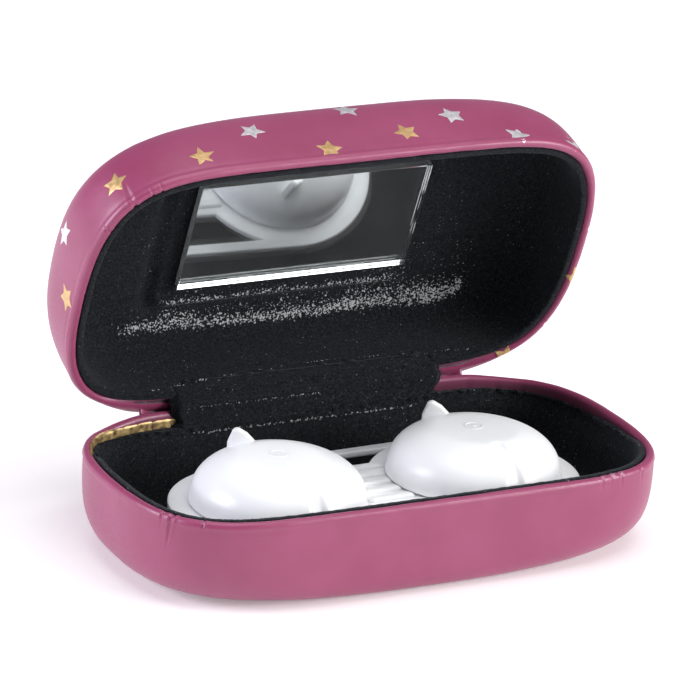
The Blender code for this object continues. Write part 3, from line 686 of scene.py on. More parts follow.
def lining_points(half):
    """The lining's shown face: a flat ledge at its edge, its wall and its floor."""
    rises = np.concatenate([[0.0], wall_rises(half, 0.3, 120)])
    outer = wall_grid(half, rises, 12)
    normals = grid_normals(outer, half.direction)
    columns = np.arange(len(PLACES))

    def sample(depth, inset):
        """Points inset from the outer form, at a depth below the rim for each column."""
        place = np.interp(depth, rises * half.height, np.arange(len(rises)))
        low = np.minimum(place.astype(int), len(rises) - 2)
        share = (place - low)[:, None]
        point = outer[low, columns] * (1 - share) + outer[low + 1, columns] * share
        normal = normals[low, columns] * (1 - share) + normals[low + 1, columns] * share
        return point - unit(normal) * inset

    edge = lining_edge(half)
    width = ledge_width(half)[:, None]
    zone = hinge_share(LID_NARROWER if half is LID else 0.0)[:, None]
    start = LEDGE_OUTER * (1 - zone) + (LINING_DEPTH - 0.25) * zone
    shortfall = (LINING_DEPTH - start - (LINING_DEPTH - LEDGE_OUTER) * width) * (1 - zone)
    rows = [sample(edge + drop, start + (inset - LEDGE_OUTER) * width) for inset, drop in LEDGE]
    ledge_end = edge + LEDGE[-1][1]
    shares = np.linspace(0.0, 1.0, LINING_WALL_ROWS) ** 1.2
    for share, rise in zip(shares[1:], wall_rises(half, 0.6, LINING_WALL_ROWS)[1:]):
        depth = np.maximum(rise * half.height, ledge_end + 0.02)
        leaning = shortfall * (1 - smooth_step(depth - edge, 0.0, 5.0))[:, None]
        inset = LINING_DEPTH + (LINING_FLOOR_DEPTH - LINING_DEPTH) * share
        rows.append(sample(depth, inset - leaning))
    last = rows[-1]
    for index in range(1, LINING_FLOOR_ROWS + 1):
        scale = 1.0 - LINING_ROW_REACH * index / LINING_FLOOR_ROWS
        floor = half.rim + half.direction * (half.height - LINING_FLOOR_DEPTH)
        rows.append(layer(last[:, 0] * scale, last[:, 1] * scale, floor))
    return np.array(rows)


def pad_edge(points):
    """Distance outside the pad's rounded outline, and how far a point is on the lid's ceiling."""
    away_x = np.abs(points[..., 0]) - (PAD_HALF_X - PAD_CORNER)
    away_y = np.abs(points[..., 1]) - (PAD_HALF_Y - PAD_CORNER)
    outside = np.hypot(np.maximum(away_x, 0.0), np.maximum(away_y, 0.0))
    away = outside + np.minimum(np.maximum(away_x, away_y), 0.0) - PAD_CORNER
    return away, smooth_step(points[..., 2], *CEILING)


def lid_relief(points):
    """The lining pressed round the mirror: a bead, and a groove outside it."""
    away, on_ceiling = pad_edge(points)
    left_or_back = 1.0 - smooth_step(points[..., 0], 17.0, 23.0)
    pressed = 0.38 * bell(away, 0.75) - 0.62 * band(away, 0.4, 1.6, 2.4, 3.9)
    return pressed * on_ceiling * left_or_back


def bead_strength(points):
    """How much painted highlight, as pale flecks, the bead along the mirror's hinge side gets."""
    away, on_ceiling = pad_edge(points)
    ends = band(points[..., 0], -25.0, -22.0, 16.0, 22.0)
    return bell(away, 0.55) * (points[..., 1] > 10.0) * ends * on_ceiling


def ridge_strength(points):
    """How much the ridge between the lid's ceiling and its back wall is raised and painted with a
    highlight of pale flecks.
    """
    x, y, z = np.moveaxis(points, -1, 0)
    level = RIDGE_LEVEL - 0.9 * smooth_step(np.abs(x), 18.0, 34.0)
    width = 0.55 + 0.35 * smooth_step(x, 12.0, 30.0)
    return bell(z - level, width) * band(x, -33.0, -28.0, 33.0, 37.0) * (y > RIDGE_FROM)


def seam_strength(half, points):
    """A thin line along each lining's back wall, where it was folded: raised a little, and painted
    with pale flecks as a highlight where the fold catches the light.
    """
    x, y, z = np.moveaxis(points, -1, 0)
    if half is LID:
        level = LID_SEAM_LEVEL - 0.0026 * (x - 3.0) ** 2
        ends = band(x, -33.0, -29.0, 33.0, 36.0)
    else:
        level = BASE_RIM - STRIP_BASE_DROP
        ends = band(x, -30.0, -27.5, 35.0, 37.0)
    return bell(z - level, 0.16) * ends * (y > 15.0)


def make_lining(half, seed):
    """One half's flocked tray; gives its points and the way in from each."""
    points = lining_points(half)
    rows, columns = points.shape[:2]
    inward = -grid_normals(points, half.direction)
    fuzz = noise_field(points, size=0.5, seed=seed, octaves=2)
    relief = 0.02 * fuzz
    relief[:len(LEDGE) + 1] += 0.05 * fuzz[:len(LEDGE) + 1]
    below_ledge = smooth_step(np.arange(rows), len(LEDGE), len(LEDGE) + 12)[:, None]
    relief += 0.06 * noise_field(points, size=6.0, seed=seed + 1) * below_ledge
    # random patches of pale flecks; painted highlights are added to them below
    flecks_and_glint = 0.22 * np.clip(noise_field(points, size=9.0, seed=seed + 3), 0, 1)
    if half is LID:
        ridge = ridge_strength(points)
        relief += lid_relief(points) + 0.30 * ridge
        # painted highlight: pale flecks along the ridge and the bead, where they face the light
        flecks_and_glint += 0.92 * ridge + 0.62 * bead_strength(points)
    seam = seam_strength(half, points)
    relief += 0.10 * seam
    # painted highlight: pale flecks along the fold line
    flecks_and_glint += 0.75 * seam
    points = points + inward * relief[..., None]
    keep = None
    if half is LID:
        in_zone = (np.abs(points[:-1, :, 0]) < ZONE_HALF) & (points[:-1, :, 1] > 0)
        keep = ~(in_zone & ((points[:-1, :, 2] + points[1:, :, 2]) / 2 < NOTCH_TOP))
    else:
        # painted highlight: pale flecks over the base lining's lit ledge
        flecks_and_glint[:len(LEDGE)] += 0.2
    faces = grid_faces(rows, columns, half.direction, keep)
    faces.append(cap_face(rows, columns, half.direction))
    faces = [face[::-1] for face in faces]
    obj = add_mesh(half.name + "_flock", points.reshape(-1, 3), faces, FLOCK)
    float_attribute(obj, "flecks_and_glint", np.clip(flecks_and_glint, 0.0, 1.0))
    thicken(obj, LINING_THICK)
    finish_piece(obj, half.name, (half.name + "_lining",))
    return points, inward


# ---------------- foil stars
STAR_RADIUS = 2.4
STAR_INNER = 0.50               # inner corners, as a share of the tips' radius
STAR_RINGS, WALK_STEPS = 5, 8
FOIL_LIFT, FOIL_EDGE_LIFT = 0.035, 0.012


def star_outline(rng):
    """A fat five-pointed star, a little uneven, with blunt tips."""
    turn = rng.uniform(0.0, 2 * math.pi)
    corners = []
    for index in range(10):
        radius = (1.0 if index % 2 == 0 else STAR_INNER) * rng.uniform(0.93, 1.06)
        angle = turn + math.pi * index / 5 + rng.uniform(-0.04, 0.04)
        corners.append(Vector((radius * math.cos(angle), radius * math.sin(angle))))
    outline = []
    for index, corner in enumerate(corners):
        before, after = corners[index - 1], corners[(index + 1) % 10]
        for share in (0.12, 0.06):
            outline.append(corner.lerp(before, share))
        for share in (0.06, 0.12, 0.5):
            outline.append(corner.lerp(after, share))
    return outline


class StarSheet:
    """Stars of one foil laid on the lid's cover."""

    def __init__(self, points, normals):
        self.points, self.normals = points, normals
        self.rows, self.columns = points.shape[:2]
        self.verts, self.faces = [], []

    def held(self, row):
        """A row kept inside the grid."""
        return min(max(row, 0.0), self.rows - 1.001)

    def steps(self, row, column):
        """How far the surface runs for one row and one column at a cell."""
        row = min(max(row, 1), self.rows - 2)
        down = self.points[row + 1, column] - self.points[row - 1, column]
        round_way = self.points[row, (column + 1) % self.columns] - self.points[row, column - 1]
        return [max(np.linalg.norm(way / 2), 0.02) for way in (down, round_way)]

    def surface(self, row, column):
        """Point and normal at a fractional row and column."""
        row = self.held(row)
        r, c = int(row), int(math.floor(column))
        fr, fc = row - r, column - c
        c, d = c % self.columns, (c + 1) % self.columns
        upper, lower = (self.points[i, c] * (1 - fc) + self.points[i, d] * fc for i in (r, r + 1))
        return upper * (1 - fr) + lower * fr, self.normals[r, c]

    def walk(self, row, column, aside, down):
        """Grid place reached by going aside and down over the surface, in small steps."""
        for _ in range(WALK_STEPS):
            per_row, per_column = self.steps(int(round(row)), int(round(column)) % self.columns)
            row = self.held(row + down / WALK_STEPS / per_row)
            column += aside / WALK_STEPS / per_column
        return row, column

    def add(self, row, column, rng):
        """A star centred on a grid place, following the surface."""
        outline = star_outline(rng)
        start = len(self.verts) + 1
        point, normal = self.surface(row, column)
        self.verts.append(point + normal * FOIL_LIFT)
        for index in range(1, STAR_RINGS + 1):
            lift = FOIL_LIFT if index < STAR_RINGS else FOIL_EDGE_LIFT
            share = STAR_RADIUS * index / STAR_RINGS
            for corner in outline:
                place = self.walk(row, column, corner.x * share, corner.y * share)
                point, normal = self.surface(*place)
                self.verts.append(point + normal * lift)
        count = len(outline)
        for index in range(count):
            following = (index + 1) % count
            self.faces.append((start - 1, start + index, start + following))
            for low in range(start, start + (STAR_RINGS - 1) * count, count):
                self.faces.append((low + index, low + count + index,
                                   low + count + following, low + following))

    def add_flat(self, x, y, rng):
        """A star on the lid's flat top, where the grid runs together."""
        height = self.points[..., 2].max() + FOIL_LIFT
        start = len(self.verts) + 1
        outline = star_outline(rng)
        self.verts.append((x, y, height))
        for corner in outline:
            self.verts.append((x + corner.x * STAR_RADIUS, y + corner.y * STAR_RADIUS, height))
        for index in range(len(outline)):
            self.faces.append((start - 1, start + index, start + (index + 1) % len(outline)))


FRONT_STARS = (                 # x on the lid's front wall, height above the rim, foil
    (-28.0, 4.4, "gold"), (-5.9, 2.7, "gold"), (9.1, 4.8, "gold"), (-17.4, 9.2, "silver"),
    (1.8, 13.4, "silver"), (19.0, 8.2, "silver"),
)
CORNER_STARS = (                # place round the rim, height above it, foil
    (-43.5, 6.0, "gold"), (-57.7, 9.9, "silver"), (-66.1, 3.5, "gold"), (28.7, 1.8, "silver"),
    (40.8, 2.0, "silver"), (71.3, 0.5, "gold"), (91.4, 0.4, "gold"), (57.0, 7.0, "gold"),
    (82.0, 8.6, "silver"),
    (-84.0, 6.2, "silver"), (-93.5, 11.0, "gold"), (46.5, 12.0, "gold"),
    (99.0, 7.5, "silver"), (-101.5, 6.5, "gold"), (69.0, 14.0, "silver"),
    (-112.0, 11.5, "silver"), (112.0, 12.0, "gold"), (-120.0, 7.0, "gold"), (124.0, 8.0, "silver"),
    (-30.0, 16.4, "silver"), (-9.5, 16.8, "gold"), (11.5, 16.6, "gold"), (33.0, 16.2, "silver"),
    (52.0, 16.3, "silver"), (-56.0, 16.2, "gold"), (76.0, 16.4, "gold"), (-78.0, 16.3, "silver"),
    (95.0, 16.2, "silver"), (-97.0, 16.4, "gold"), (109.0, 16.7, "gold"), (-110.0, 16.6, "silver"),
    (121.0, 16.3, "silver"), (-123.0, 16.6, "gold"), (131.0, 13.6, "gold"), (-132.0, 9.5, "silver"),
)
FLAT_STARS = (                  # x and y on the lid's top, foil
    (-21.0, -6.5, "silver"), (-10.5, -9.5, "gold"), (1.5, -6.0, "silver"), (12.5, -8.5, "gold"),
    (22.0, -3.0, "silver"), (-15.0, 3.0, "gold"), (-3.5, 2.0, "silver"), (7.5, 4.0, "gold"),
    (17.5, 6.5, "silver"), (-8.0, 10.0, "silver"), (-25.0, 4.5, "gold"), (3.0, 11.0, "gold"),
    (24.5, 7.5, "gold"), (-17.0, 10.5, "silver"), (27.0, -8.5, "silver"), (-27.0, -9.5, "gold"),
)


def make_stars():
    """The lid's printed stars, one mesh for each foil."""
    points, drops = cover_grid(LID)
    normals = grid_normals(points, LID.direction)
    rng = random.Random(11)
    sheets = {kind: StarSheet(points, normals) for kind in ("gold", "silver")}
    for x, height, kind in FRONT_STARS:
        away = np.linalg.norm(points - np.array((x, -HALF_DEPTH, LID_RIM + height)), axis=-1)
        sheets[kind].add(*np.unravel_index(np.argmin(away), away.shape), rng)
    for place, height, kind in CORNER_STARS:
        column = int(np.argmin(np.abs(signed(SIGNED - place))))
        row = int(np.argmin(np.abs(drops - height)))
        sheets[kind].add(row, column, rng)
    for x, y, kind in FLAT_STARS:
        sheets[kind].add_flat(x, y, rng)
    for kind, material in (("gold", GOLD), ("silver", SILVER)):
        obj = add_mesh(f"lid_{kind}_stars", sheets[kind].verts, sheets[kind].faces, material)
        finish_piece(obj, "lid")


# ---------------- gold turn-in
GOLD_FROM, GOLD_TO = -106.0, -77.5      # places round the rim
GOLD_LIFT = 0.12                        # off the leatherette
GOLD_TURN = math.radians(62.0)          # how far it goes over the fold
GOLD_FOLDS = ((1.7, 0.3, 0.10), (3.9, 1.9, 0.09), (7.3, 4.0, 0.06))     # speed, start, size


def make_gold_turn_in():
    """A wrinkled piece of gold foil leatherette showing inside the base's left back corner."""
    columns = np.flatnonzero((SIGNED > GOLD_FROM) & (SIGNED < GOLD_TO))
    path = [(2 * FOLD_RADIUS + GOLD_LIFT, depth) for depth in np.linspace(3.4, FOLD_RADIUS, 16)[:-1]]
    for angle in np.linspace(0.0, GOLD_TURN, 8):
        radius = FOLD_RADIUS + GOLD_LIFT * (1.0 - angle / GOLD_TURN * 0.85)
        path.append((FOLD_RADIUS + radius * math.cos(angle), FOLD_RADIUS - radius * math.sin(angle)))
    rows, outward = rim_rows(BASE, path)
    rows = rows[:, columns]
    folds = sum(np.sin(SIGNED[columns] * speed + start) * size for speed, start, size in GOLD_FOLDS)
    fall = np.linspace(1.0, 0.25, len(path))[:, None]
    folds = folds[None, :] * fall + 0.06 * noise_field(rows, size=1.1, seed=41)
    rows = rows - outward[columns][None] * folds[..., None]
    obj = add_sheet("base_gold_turn_in", rows, -1, GOLD_LEATHERETTE)
    finish_piece(obj, "base")


# ---------------- strips across the hinge
def swung(y, z):
    """Where a point of the closed lid, measured from the hinge axis, lies with the lid open."""
    cos, sin = math.cos(OPENING), math.sin(OPENING)
    return Vector((HINGE_Y + y * cos + z * sin, HINGE_Z - y * sin + z * cos))


def outline_bow(x):
    """How far the case's back outline has come forward at x from the middle."""
    share = np.clip(np.abs(x) / HALF_WIDTH, 0.0, 1.0) ** RIM_POWERS[0]
    return HALF_DEPTH * (1.0 - (1.0 - share) ** (1 / RIM_POWERS[1]))


STRIP_COLUMNS, STRIP_THICK = 150, 0.10
STRIP_WALL_STEPS, STRIP_BEND_STEPS, STRIP_LID_STEPS = 15, 25, 6
STRIP_NARROWING = 1.2           # how far its ends draw in at the base's turn-in


def strip_sheet(name, path, half_width, material, relief, direction=1):
    """A sheet across the hinge: a path of (y, z) points, drawn along the hinge."""
    across = np.linspace(-half_width, half_width, STRIP_COLUMNS)
    path = np.array([tuple(point) for point in path])
    tangent = unit(np.gradient(path, axis=0))
    y = np.repeat(path[:, :1], STRIP_COLUMNS, axis=1)
    z = np.repeat(path[:, 1:], STRIP_COLUMNS, axis=1)
    points = np.stack([np.repeat(across[None], len(path), axis=0), y, z], axis=-1)
    push = 0.035 * noise_field(points, size=4.0, seed=51) + relief(points)
    points[..., 1] -= tangent[:, 1:] * push
    points[..., 2] += tangent[:, :1] * push
    return add_sheet(name, points, direction, material), points


def make_inner_strip():
    """The flocked strip that hides the hinge from inside, its edges flush with the linings."""
    inner_y = -(HINGE_Y - HALF_DEPTH + LINING_DEPTH + STRIP_INSET)
    low = BASE_RIM - STRIP_BASE_DROP
    climb = np.linspace(0.0, HINGE_Z - low, STRIP_WALL_STEPS + 1)
    path = [Vector((HINGE_Y + inner_y, low + step)) for step in climb]
    bend_first = len(path)
    for angle in np.linspace(0.0, OPENING, STRIP_BEND_STEPS + 1)[1:]:
        y, z = inner_y * math.cos(angle), -inner_y * math.sin(angle)
        path.append(Vector((HINGE_Y + y, HINGE_Z + z)))
    top = LID_RIM + STRIP_LID_RISE - HINGE_Z
    path += [swung(inner_y, rise) for rise in np.linspace(0.0, top, STRIP_LID_STEPS + 1)[1:]]
    steps = np.arange(len(path), dtype=float)[:, None]
    crease_at = bend_first + 0.52 * STRIP_BEND_STEPS

    def relief(points):
        """Bowed like the back walls, tucked in along its borders and creased along its bend."""
        x = points[..., 0]
        sides = np.abs(x)
        tucked = 0.17 * smooth_step(sides, 18.0, 23.5) + 1.2 * smooth_step(sides, 24.0, STRIP_HALF)
        tucked = tucked + 0.05 * smooth_step(-steps, -1.5, 0.0)
        valley = 0.42 * bell(steps - crease_at, 3.2)
        shoulder = 0.16 * bell(steps - crease_at + 8.0, 4.0)
        base_valley = 0.16 * bell(steps - 12.0, 2.5) * smooth_step(x, 0.0, 16.0)
        return outline_bow(x) - tucked - valley + shoulder - base_valley

    obj, points = strip_sheet("hinge_lining", path, STRIP_HALF, FLOCK, relief, -1)
    turn_in_step = (STRIP_BASE_DROP - 0.9) / (HINGE_Z - low) * STRIP_WALL_STEPS
    for vertex, step in zip(obj.data.vertices, np.repeat(steps, STRIP_COLUMNS)):
        narrowed = STRIP_NARROWING * MM * bell(step - turn_in_step, 2.4)
        reach = abs(vertex.co.x) / (STRIP_HALF * MM)
        vertex.co.x -= math.copysign(narrowed * reach ** 10, vertex.co.x)
    # painted highlight: pale flecks along the start of the strip's bend, and along its lower edge
    # where it meets the base lining's fold line
    line = bell(steps - bend_first - 0.5, 1.6) * band(points[..., 0], -23.0, -21.0, 0.0, 8.0)
    flecks_and_glint = 0.10 + 0.55 * line
    flecks_and_glint[:2] = 0.75
    float_attribute(obj, "flecks_and_glint", flecks_and_glint)
    thicken(obj, STRIP_THICK, offset=0.0)
    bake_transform(obj)
    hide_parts("hinge_lining_strip")


SPINE_LIFT = 0.40               # spine's middle, out from the outside of the case
SPINE_BEND_BASE, SPINE_BEND_LID, SPINE_GLUED = 4.3, 4.5, 6.0
SPINE_MIDDLE_STEP = 22
SPINE_END_TUCK, SPINE_FIRST_STEP = 0.15, 0.3


def make_spine():
    """The leatherette spine over the hinge's back, with a soft hollow along its bend."""
    outer_y = HALF_DEPTH + SPINE_LIFT - HINGE_Y
    start = Vector((HINGE_Y + outer_y, HINGE_Z - SPINE_BEND_BASE))
    end = swung(outer_y, SPINE_BEND_LID)
    corner = swung(outer_y, outer_y * (1 - math.cos(OPENING)) / math.sin(OPENING))
    path = [Vector((start.x - SPINE_END_TUCK, start.y - SPINE_GLUED))]
    glued = np.linspace(SPINE_FIRST_STEP, SPINE_GLUED, 9)
    path += [Vector((start.x, start.y - SPINE_GLUED + step)) for step in glued]
    for t in np.linspace(0.0, 1.0, 26)[1:]:
        path.append(start * (1 - t) ** 2 + corner * 2 * t * (1 - t) + end * t ** 2)
    glued = np.linspace(0.0, SPINE_GLUED - SPINE_FIRST_STEP, 9)[1:]
    path += [swung(outer_y, SPINE_BEND_LID + step) for step in glued]
    path.append(swung(outer_y - SPINE_END_TUCK, SPINE_BEND_LID + SPINE_GLUED))
    steps, last = np.arange(len(path))[:, None], len(path) - 1

    def relief(points):
        """Bowed like the back walls and wrinkled at the bend."""
        middle = bell(steps - SPINE_MIDDLE_STEP, 7.0)
        sides = smooth_step(np.abs(points[..., 0]), SPINE_HALF - 2.5, SPINE_HALF)
        glued = np.maximum(1 - smooth_step(steps, 0, 4), smooth_step(steps, last - 4, last))
        tucked = 0.50 * np.maximum(sides, glued) + 0.6 * sides * middle
        wrinkles = 0.14 * middle * noise_field(points * (0.35, 1.0, 1.0), size=1.6, seed=61)
        return outline_bow(points[..., 0]) + tucked + wrinkles

    obj, points = strip_sheet("spine_leatherette", path, SPINE_HALF, LEATHERETTE, relief)
    float_attribute(obj, "wear_and_glint", np.zeros(points.shape[:2]))
    thicken(obj, COVER_THICK, offset=0.0)
    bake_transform(obj)
    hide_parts("spine_cover")


# ---------------- snap springs
SPRING_COIL, SPRING_WIRE, SPRING_LEG, SPRING_HALF = 0.72, 0.15, 2.2, 1.5
SPRING_TURNS, SPRING_STEPS, WIRE_SIDES = 3, 120, 10


def wire(points, radius):
    """Points and faces of a round wire along a path."""
    points = np.array(points)
    tangent = unit(np.gradient(points, axis=0))
    side = unit(np.cross(tangent, (1.0, 0.0, 0.0)) + 1e-6)[:, None]
    other = np.cross(tangent, side[:, 0])[:, None]
    angle = np.linspace(0.0, 2 * math.pi, WIRE_SIDES, endpoint=False)[None, :, None]
    rings = points[:, None] + radius * (np.cos(angle) * side + np.sin(angle) * other)
    faces = grid_faces(len(points), WIRE_SIDES, 1)
    faces += [list(range(WIRE_SIDES))[::-1], cap_face(len(points), WIRE_SIDES, 1)]
    return rings.reshape(-1, 3), faces


def make_spring(name):
    """A wire spring coiled on the pin, one leg along each leaf, its lid leg set at the lid's opening.
    """
    low, high = (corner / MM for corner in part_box(name))
    middle = (low.x + high.x) / 2

    def place(side, y, z):
        return middle + side * SPRING_HALF, HINGE_Y + y, HINGE_Z + z

    lid_y, lid_z = SPRING_COIL * math.sin(OPENING), SPRING_COIL * math.cos(OPENING)
    start, finish = -math.pi / 2, math.atan2(lid_z, lid_y) + 2 * math.pi * SPRING_TURNS
    points = [place(-1, -SPRING_LEG * reach, -SPRING_COIL) for reach in (1.0, 0.5)]
    for share in np.linspace(0.0, 1.0, SPRING_STEPS):
        angle = start + (finish - start) * share
        y, z = SPRING_COIL * math.cos(angle), SPRING_COIL * math.sin(angle)
        points.append(place(2 * share - 1, y, z))
    for leg in (SPRING_LEG * 0.5, SPRING_LEG):
        points.append(place(1, lid_y - leg * math.cos(OPENING), lid_z + leg * math.sin(OPENING)))
    obj = add_mesh(name + "_wire", *wire(points, SPRING_WIRE), STEEL)
    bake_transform(obj)
    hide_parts(name)


# ---------------- mirror
MIRROR_TILT = 0.65              # degrees it leans, its front edge furthest from the lining
MIRROR_BEVEL = 0.14
TAPE_DEPTH, TAPE_THICK = 2.7, 0.6       # the tape's top, below the outside of the lid


def make_mirror():
    """A slab of glass with a fine ground edge, silvered on its back."""
    glass_top = LID_RIM + LID.height - TAPE_DEPTH - TAPE_THICK
    size = Vector((2 * MIRROR_HALF_X, 2 * MIRROR_HALF_Y, MIRROR_THICK)) * MM
    bm = bmesh.new()
    bmesh.ops.create_cube(bm, size=1.0)
    bmesh.ops.scale(bm, vec=size, verts=bm.verts)
    bmesh.ops.translate(bm, vec=Vector((0.0, 0.0, glass_top - MIRROR_THICK / 2)) * MM, verts=bm.verts)
    bmesh.ops.bevel(bm, geom=list(bm.edges), offset=MIRROR_BEVEL * MM, segments=2, profile=0.5,
                    affect="EDGES")
    bmesh.ops.rotate(bm, verts=bm.verts, cent=Vector((0.0, 0.0, glass_top)) * MM,
                     matrix=Matrix.Rotation(math.radians(MIRROR_TILT), 3, "X"))
    for face in bm.faces:
        face.material_index = 1 if face.normal.z > 0.9 else 0
    mesh = bpy.data.meshes.new("mirror_plate")
    bm.to_mesh(mesh)
    bm.free()
    mesh.materials.append(GLASS)
    mesh.materials.append(SILVERING)
    finish_piece(place_object("mirror_plate", mesh), "lid", ("mirror_glass",))


# ---------------- lens holder and caps
HOLDER_X, HOLDER_Y, HOLDER_TURN = -0.5, -3.7, math.radians(1.6)
WELL_OFFSET = 18.4
FLANGE_TOP, FLANGE_THICK, FLANGE_RADIUS = 10.4, 1.2, 18.1
DISC_RADIUS, BAR_WIDTH, DECK_HALF = 17.6, 1.9, 10.5
RIB_PITCH, RIB_WIDTH, RIB_HEIGHT, RIB_COUNT = 3.4, 1.6, 0.8, 6
NECK_RADIUS, NECK_HEIGHT, WELL_WALL, WELL_FLAT_RADIUS = 12.4, 3.2, 1.0, 7.0
WELL_FLOOR = 2.8                # underside of the wells, above the table
CAP_RADIUS, CAP_HEIGHT, CAP_WALL = 14.5, 8.2, 1.1
EAR_LENGTH, EAR_THICK, EAR_RISE, EAR_FOOT = 5.2, 1.3, 1.5, 2.3
EAR_PLACE, EAR_TURN = (-1.7, 9.9), math.radians(147.0)


def on_holder(x):
    """The place of a piece on the holder's flange."""
    middle = Matrix.Translation(Vector((HOLDER_X, HOLDER_Y, 0.0)) * MM)
    offset = Matrix.Translation(Vector((x, 0.0, FLANGE_TOP)) * MM)
    return middle @ Matrix.Rotation(HOLDER_TURN, 4, "Z") @ offset


def arc(centre, radius, start, end, steps):
    angles = np.radians(np.linspace(start, end, steps + 1))
    return [(centre[0] + radius * math.cos(a), centre[1] + radius * math.sin(a)) for a in angles]


def plate(name, outlines, thickness, rounding):
    """A flat white plate with rounded edges; outlines after the first are holes in it."""
    curve = bpy.data.curves.new(name, "CURVE")
    curve.dimensions = "2D"
    curve.fill_mode = "BOTH"
    curve.extrude = (thickness / 2 - rounding) * MM
    curve.bevel_depth = rounding * MM
    curve.offset = -rounding * MM
    curve.bevel_resolution = 3
    for points in outlines:
        spline = curve.splines.new("POLY")
        spline.points.add(len(points) - 1)
        for point, (x, y) in zip(spline.points, points):
            point.co = (x * MM, y * MM, 0.0, 1.0)
        spline.use_cyclic_u = True
    source = place_object(name, curve)
    mesh = evaluated_mesh(source)
    bpy.data.objects.remove(source)
    bm = bmesh.new()
    bm.from_mesh(mesh)
    bmesh.ops.remove_doubles(bm, verts=bm.verts, dist=0.002 * MM)
    bm.to_mesh(mesh)
    bm.free()
    mesh.materials.clear()
    mesh.materials.append(WHITE)
    mesh.shade_smooth()
    mesh.set_sharp_from_angle(angle=math.radians(35))
    return place_object(name, mesh)


def turned(name, profile, steps, relief=None):
    """A white solid of revolution about Z; relief(points) gives how far each point is pushed."""
    profile = np.array(profile)
    angle = np.linspace(0.0, 2 * math.pi, steps, endpoint=False)[None]
    x, y = profile[:, :1] * np.cos(angle), profile[:, :1] * np.sin(angle)
    points = np.stack([x, y, np.repeat(profile[:, 1:], steps, axis=1)], axis=-1)
    if relief is not None:
        points += relief(points)
    faces = grid_faces(len(profile), steps, -1)
    faces += [list(range(steps)), cap_face(len(profile), steps, -1)]
    obj = add_mesh(name, points.reshape(-1, 3), faces, WHITE)
    obj.data.set_sharp_from_angle(angle=math.radians(50))
    return obj


def bezier(points, count):
    """Points along a cubic Bezier curve."""
    t = np.linspace(0.0, 1.0, count)[:, None]
    a, b, c, d = (np.array(point) for point in points)
    points = a * (1 - t) ** 3 + 3 * b * t * (1 - t) ** 2 + 3 * c * t ** 2 * (1 - t) + d * t ** 3
    return points.tolist()


def well_profile():
    """From the middle of a well's floor, up its inner side and down its outer side."""
    depth, half_flange = FLANGE_TOP - WELL_FLOOR, FLANGE_THICK / 2
    lip_radius, lip_rise = WELL_WALL / 2, 0.25

    def bowl(radius, reach, start, end):
        """A quarter of an ellipse from the well's flat floor to its upright wall, or back."""
        angles = np.radians(np.linspace(start, end, 18))
        return [(WELL_FLAT_RADIUS + (radius - WELL_FLAT_RADIUS) * math.cos(angle),
                 -half_flange - reach * math.sin(angle)) for angle in angles]

    inner = bowl(NECK_RADIUS - WELL_WALL, depth - half_flange - WELL_WALL, 90.0, 0.0)
    lip = [(NECK_RADIUS - WELL_WALL, NECK_HEIGHT - lip_rise)]
    for angle in np.radians(np.linspace(180.0, 0.0, 9)):
        lip.append((NECK_RADIUS - lip_radius + lip_radius * math.cos(angle),
                    NECK_HEIGHT - lip_rise + lip_rise * math.sin(angle)))
    fillet = ((0, 0.6), (0.25, 0.15), (0.6, -0.1), (0, -0.3))
    neck = [(NECK_RADIUS + out, height) for out, height in fillet]
    outer = bowl(NECK_RADIUS, depth - half_flange, 0.0, 90.0)
    return [(0.05, WELL_WALL - depth)] + inner + lip + neck + outer + [(0.05, -depth)]


def make_thread(name):
    """A rounded thread that winds once and a quarter round a neck."""
    turns, pitch, bottom, thickness = 1.25, 1.0, 0.8, 0.42
    share = np.linspace(0.0, 1.0, 150)[:, None]
    angle = share * turns * 2 * math.pi
    size = thickness * np.clip(np.minimum(share, 1 - share) * 12, 0.05, 1.0)
    section = np.radians(np.linspace(-90.0, 90.0, 9))[None]
    radius = NECK_RADIUS - 0.05 + size * np.cos(section)
    height = bottom + pitch * share * turns + size * np.sin(section)
    points = np.stack([radius * np.cos(angle), radius * np.sin(angle), height], axis=-1)
    return add_sheet(name, points, -1, WHITE)


def join(objects, name):
    """One white object from several."""
    bm = bmesh.new()
    for obj in objects:
        part = obj.data.copy()
        part.transform(obj.matrix_world)
        bm.from_mesh(part)
    mesh = bpy.data.meshes.new(name)
    bm.to_mesh(mesh)
    bm.free()
    mesh.materials.append(WHITE)
    for obj in objects:
        bpy.data.objects.remove(obj)
    mesh.set_sharp_from_angle(angle=math.radians(42))
    return place_object(name, mesh)


def window_outline(side):
    """The opening between the two discs, the ribbed waist and the bar."""
    top = FLANGE_RADIUS - BAR_WIDTH
    low = math.degrees(math.asin(DECK_HALF / DISC_RADIUS))
    high = math.degrees(math.asin(top / DISC_RADIUS))
    left = arc((-WELL_OFFSET, 0.0), DISC_RADIUS, low, high, 24)
    right = arc((WELL_OFFSET, 0.0), DISC_RADIUS, 180 - high, 180 - low, 24)
    return [(x, side * y) for x, y in left + right]


def make_rib(index):
    """A rounded rib across the waist, between the two caps."""
    y = RIB_PITCH * (index - (RIB_COUNT - 1) / 2)
    nearest = abs(y) - RIB_WIDTH / 2
    half_x = WELL_OFFSET - math.sqrt(CAP_RADIUS ** 2 - nearest ** 2) - 0.3
    along = np.linspace(-half_x, half_x, 25)[:, None]
    ends = np.sqrt(np.clip(1 - (np.abs(along) / half_x) ** 8, 0.0, 1.0))
    section = np.radians(np.linspace(0.0, 180.0, 17))[None]
    width = np.sign(np.cos(section)) * np.abs(np.cos(section)) ** 0.6 * RIB_WIDTH / 2
    rise = np.abs(np.sin(section)) ** 0.6 * RIB_HEIGHT
    points = [np.repeat(along, section.size, 1), y + width * (0.5 + 0.5 * ends), rise * ends - 0.02]
    return add_sheet(f"rib_{index}", np.stack(points, axis=-1), 1, WHITE)


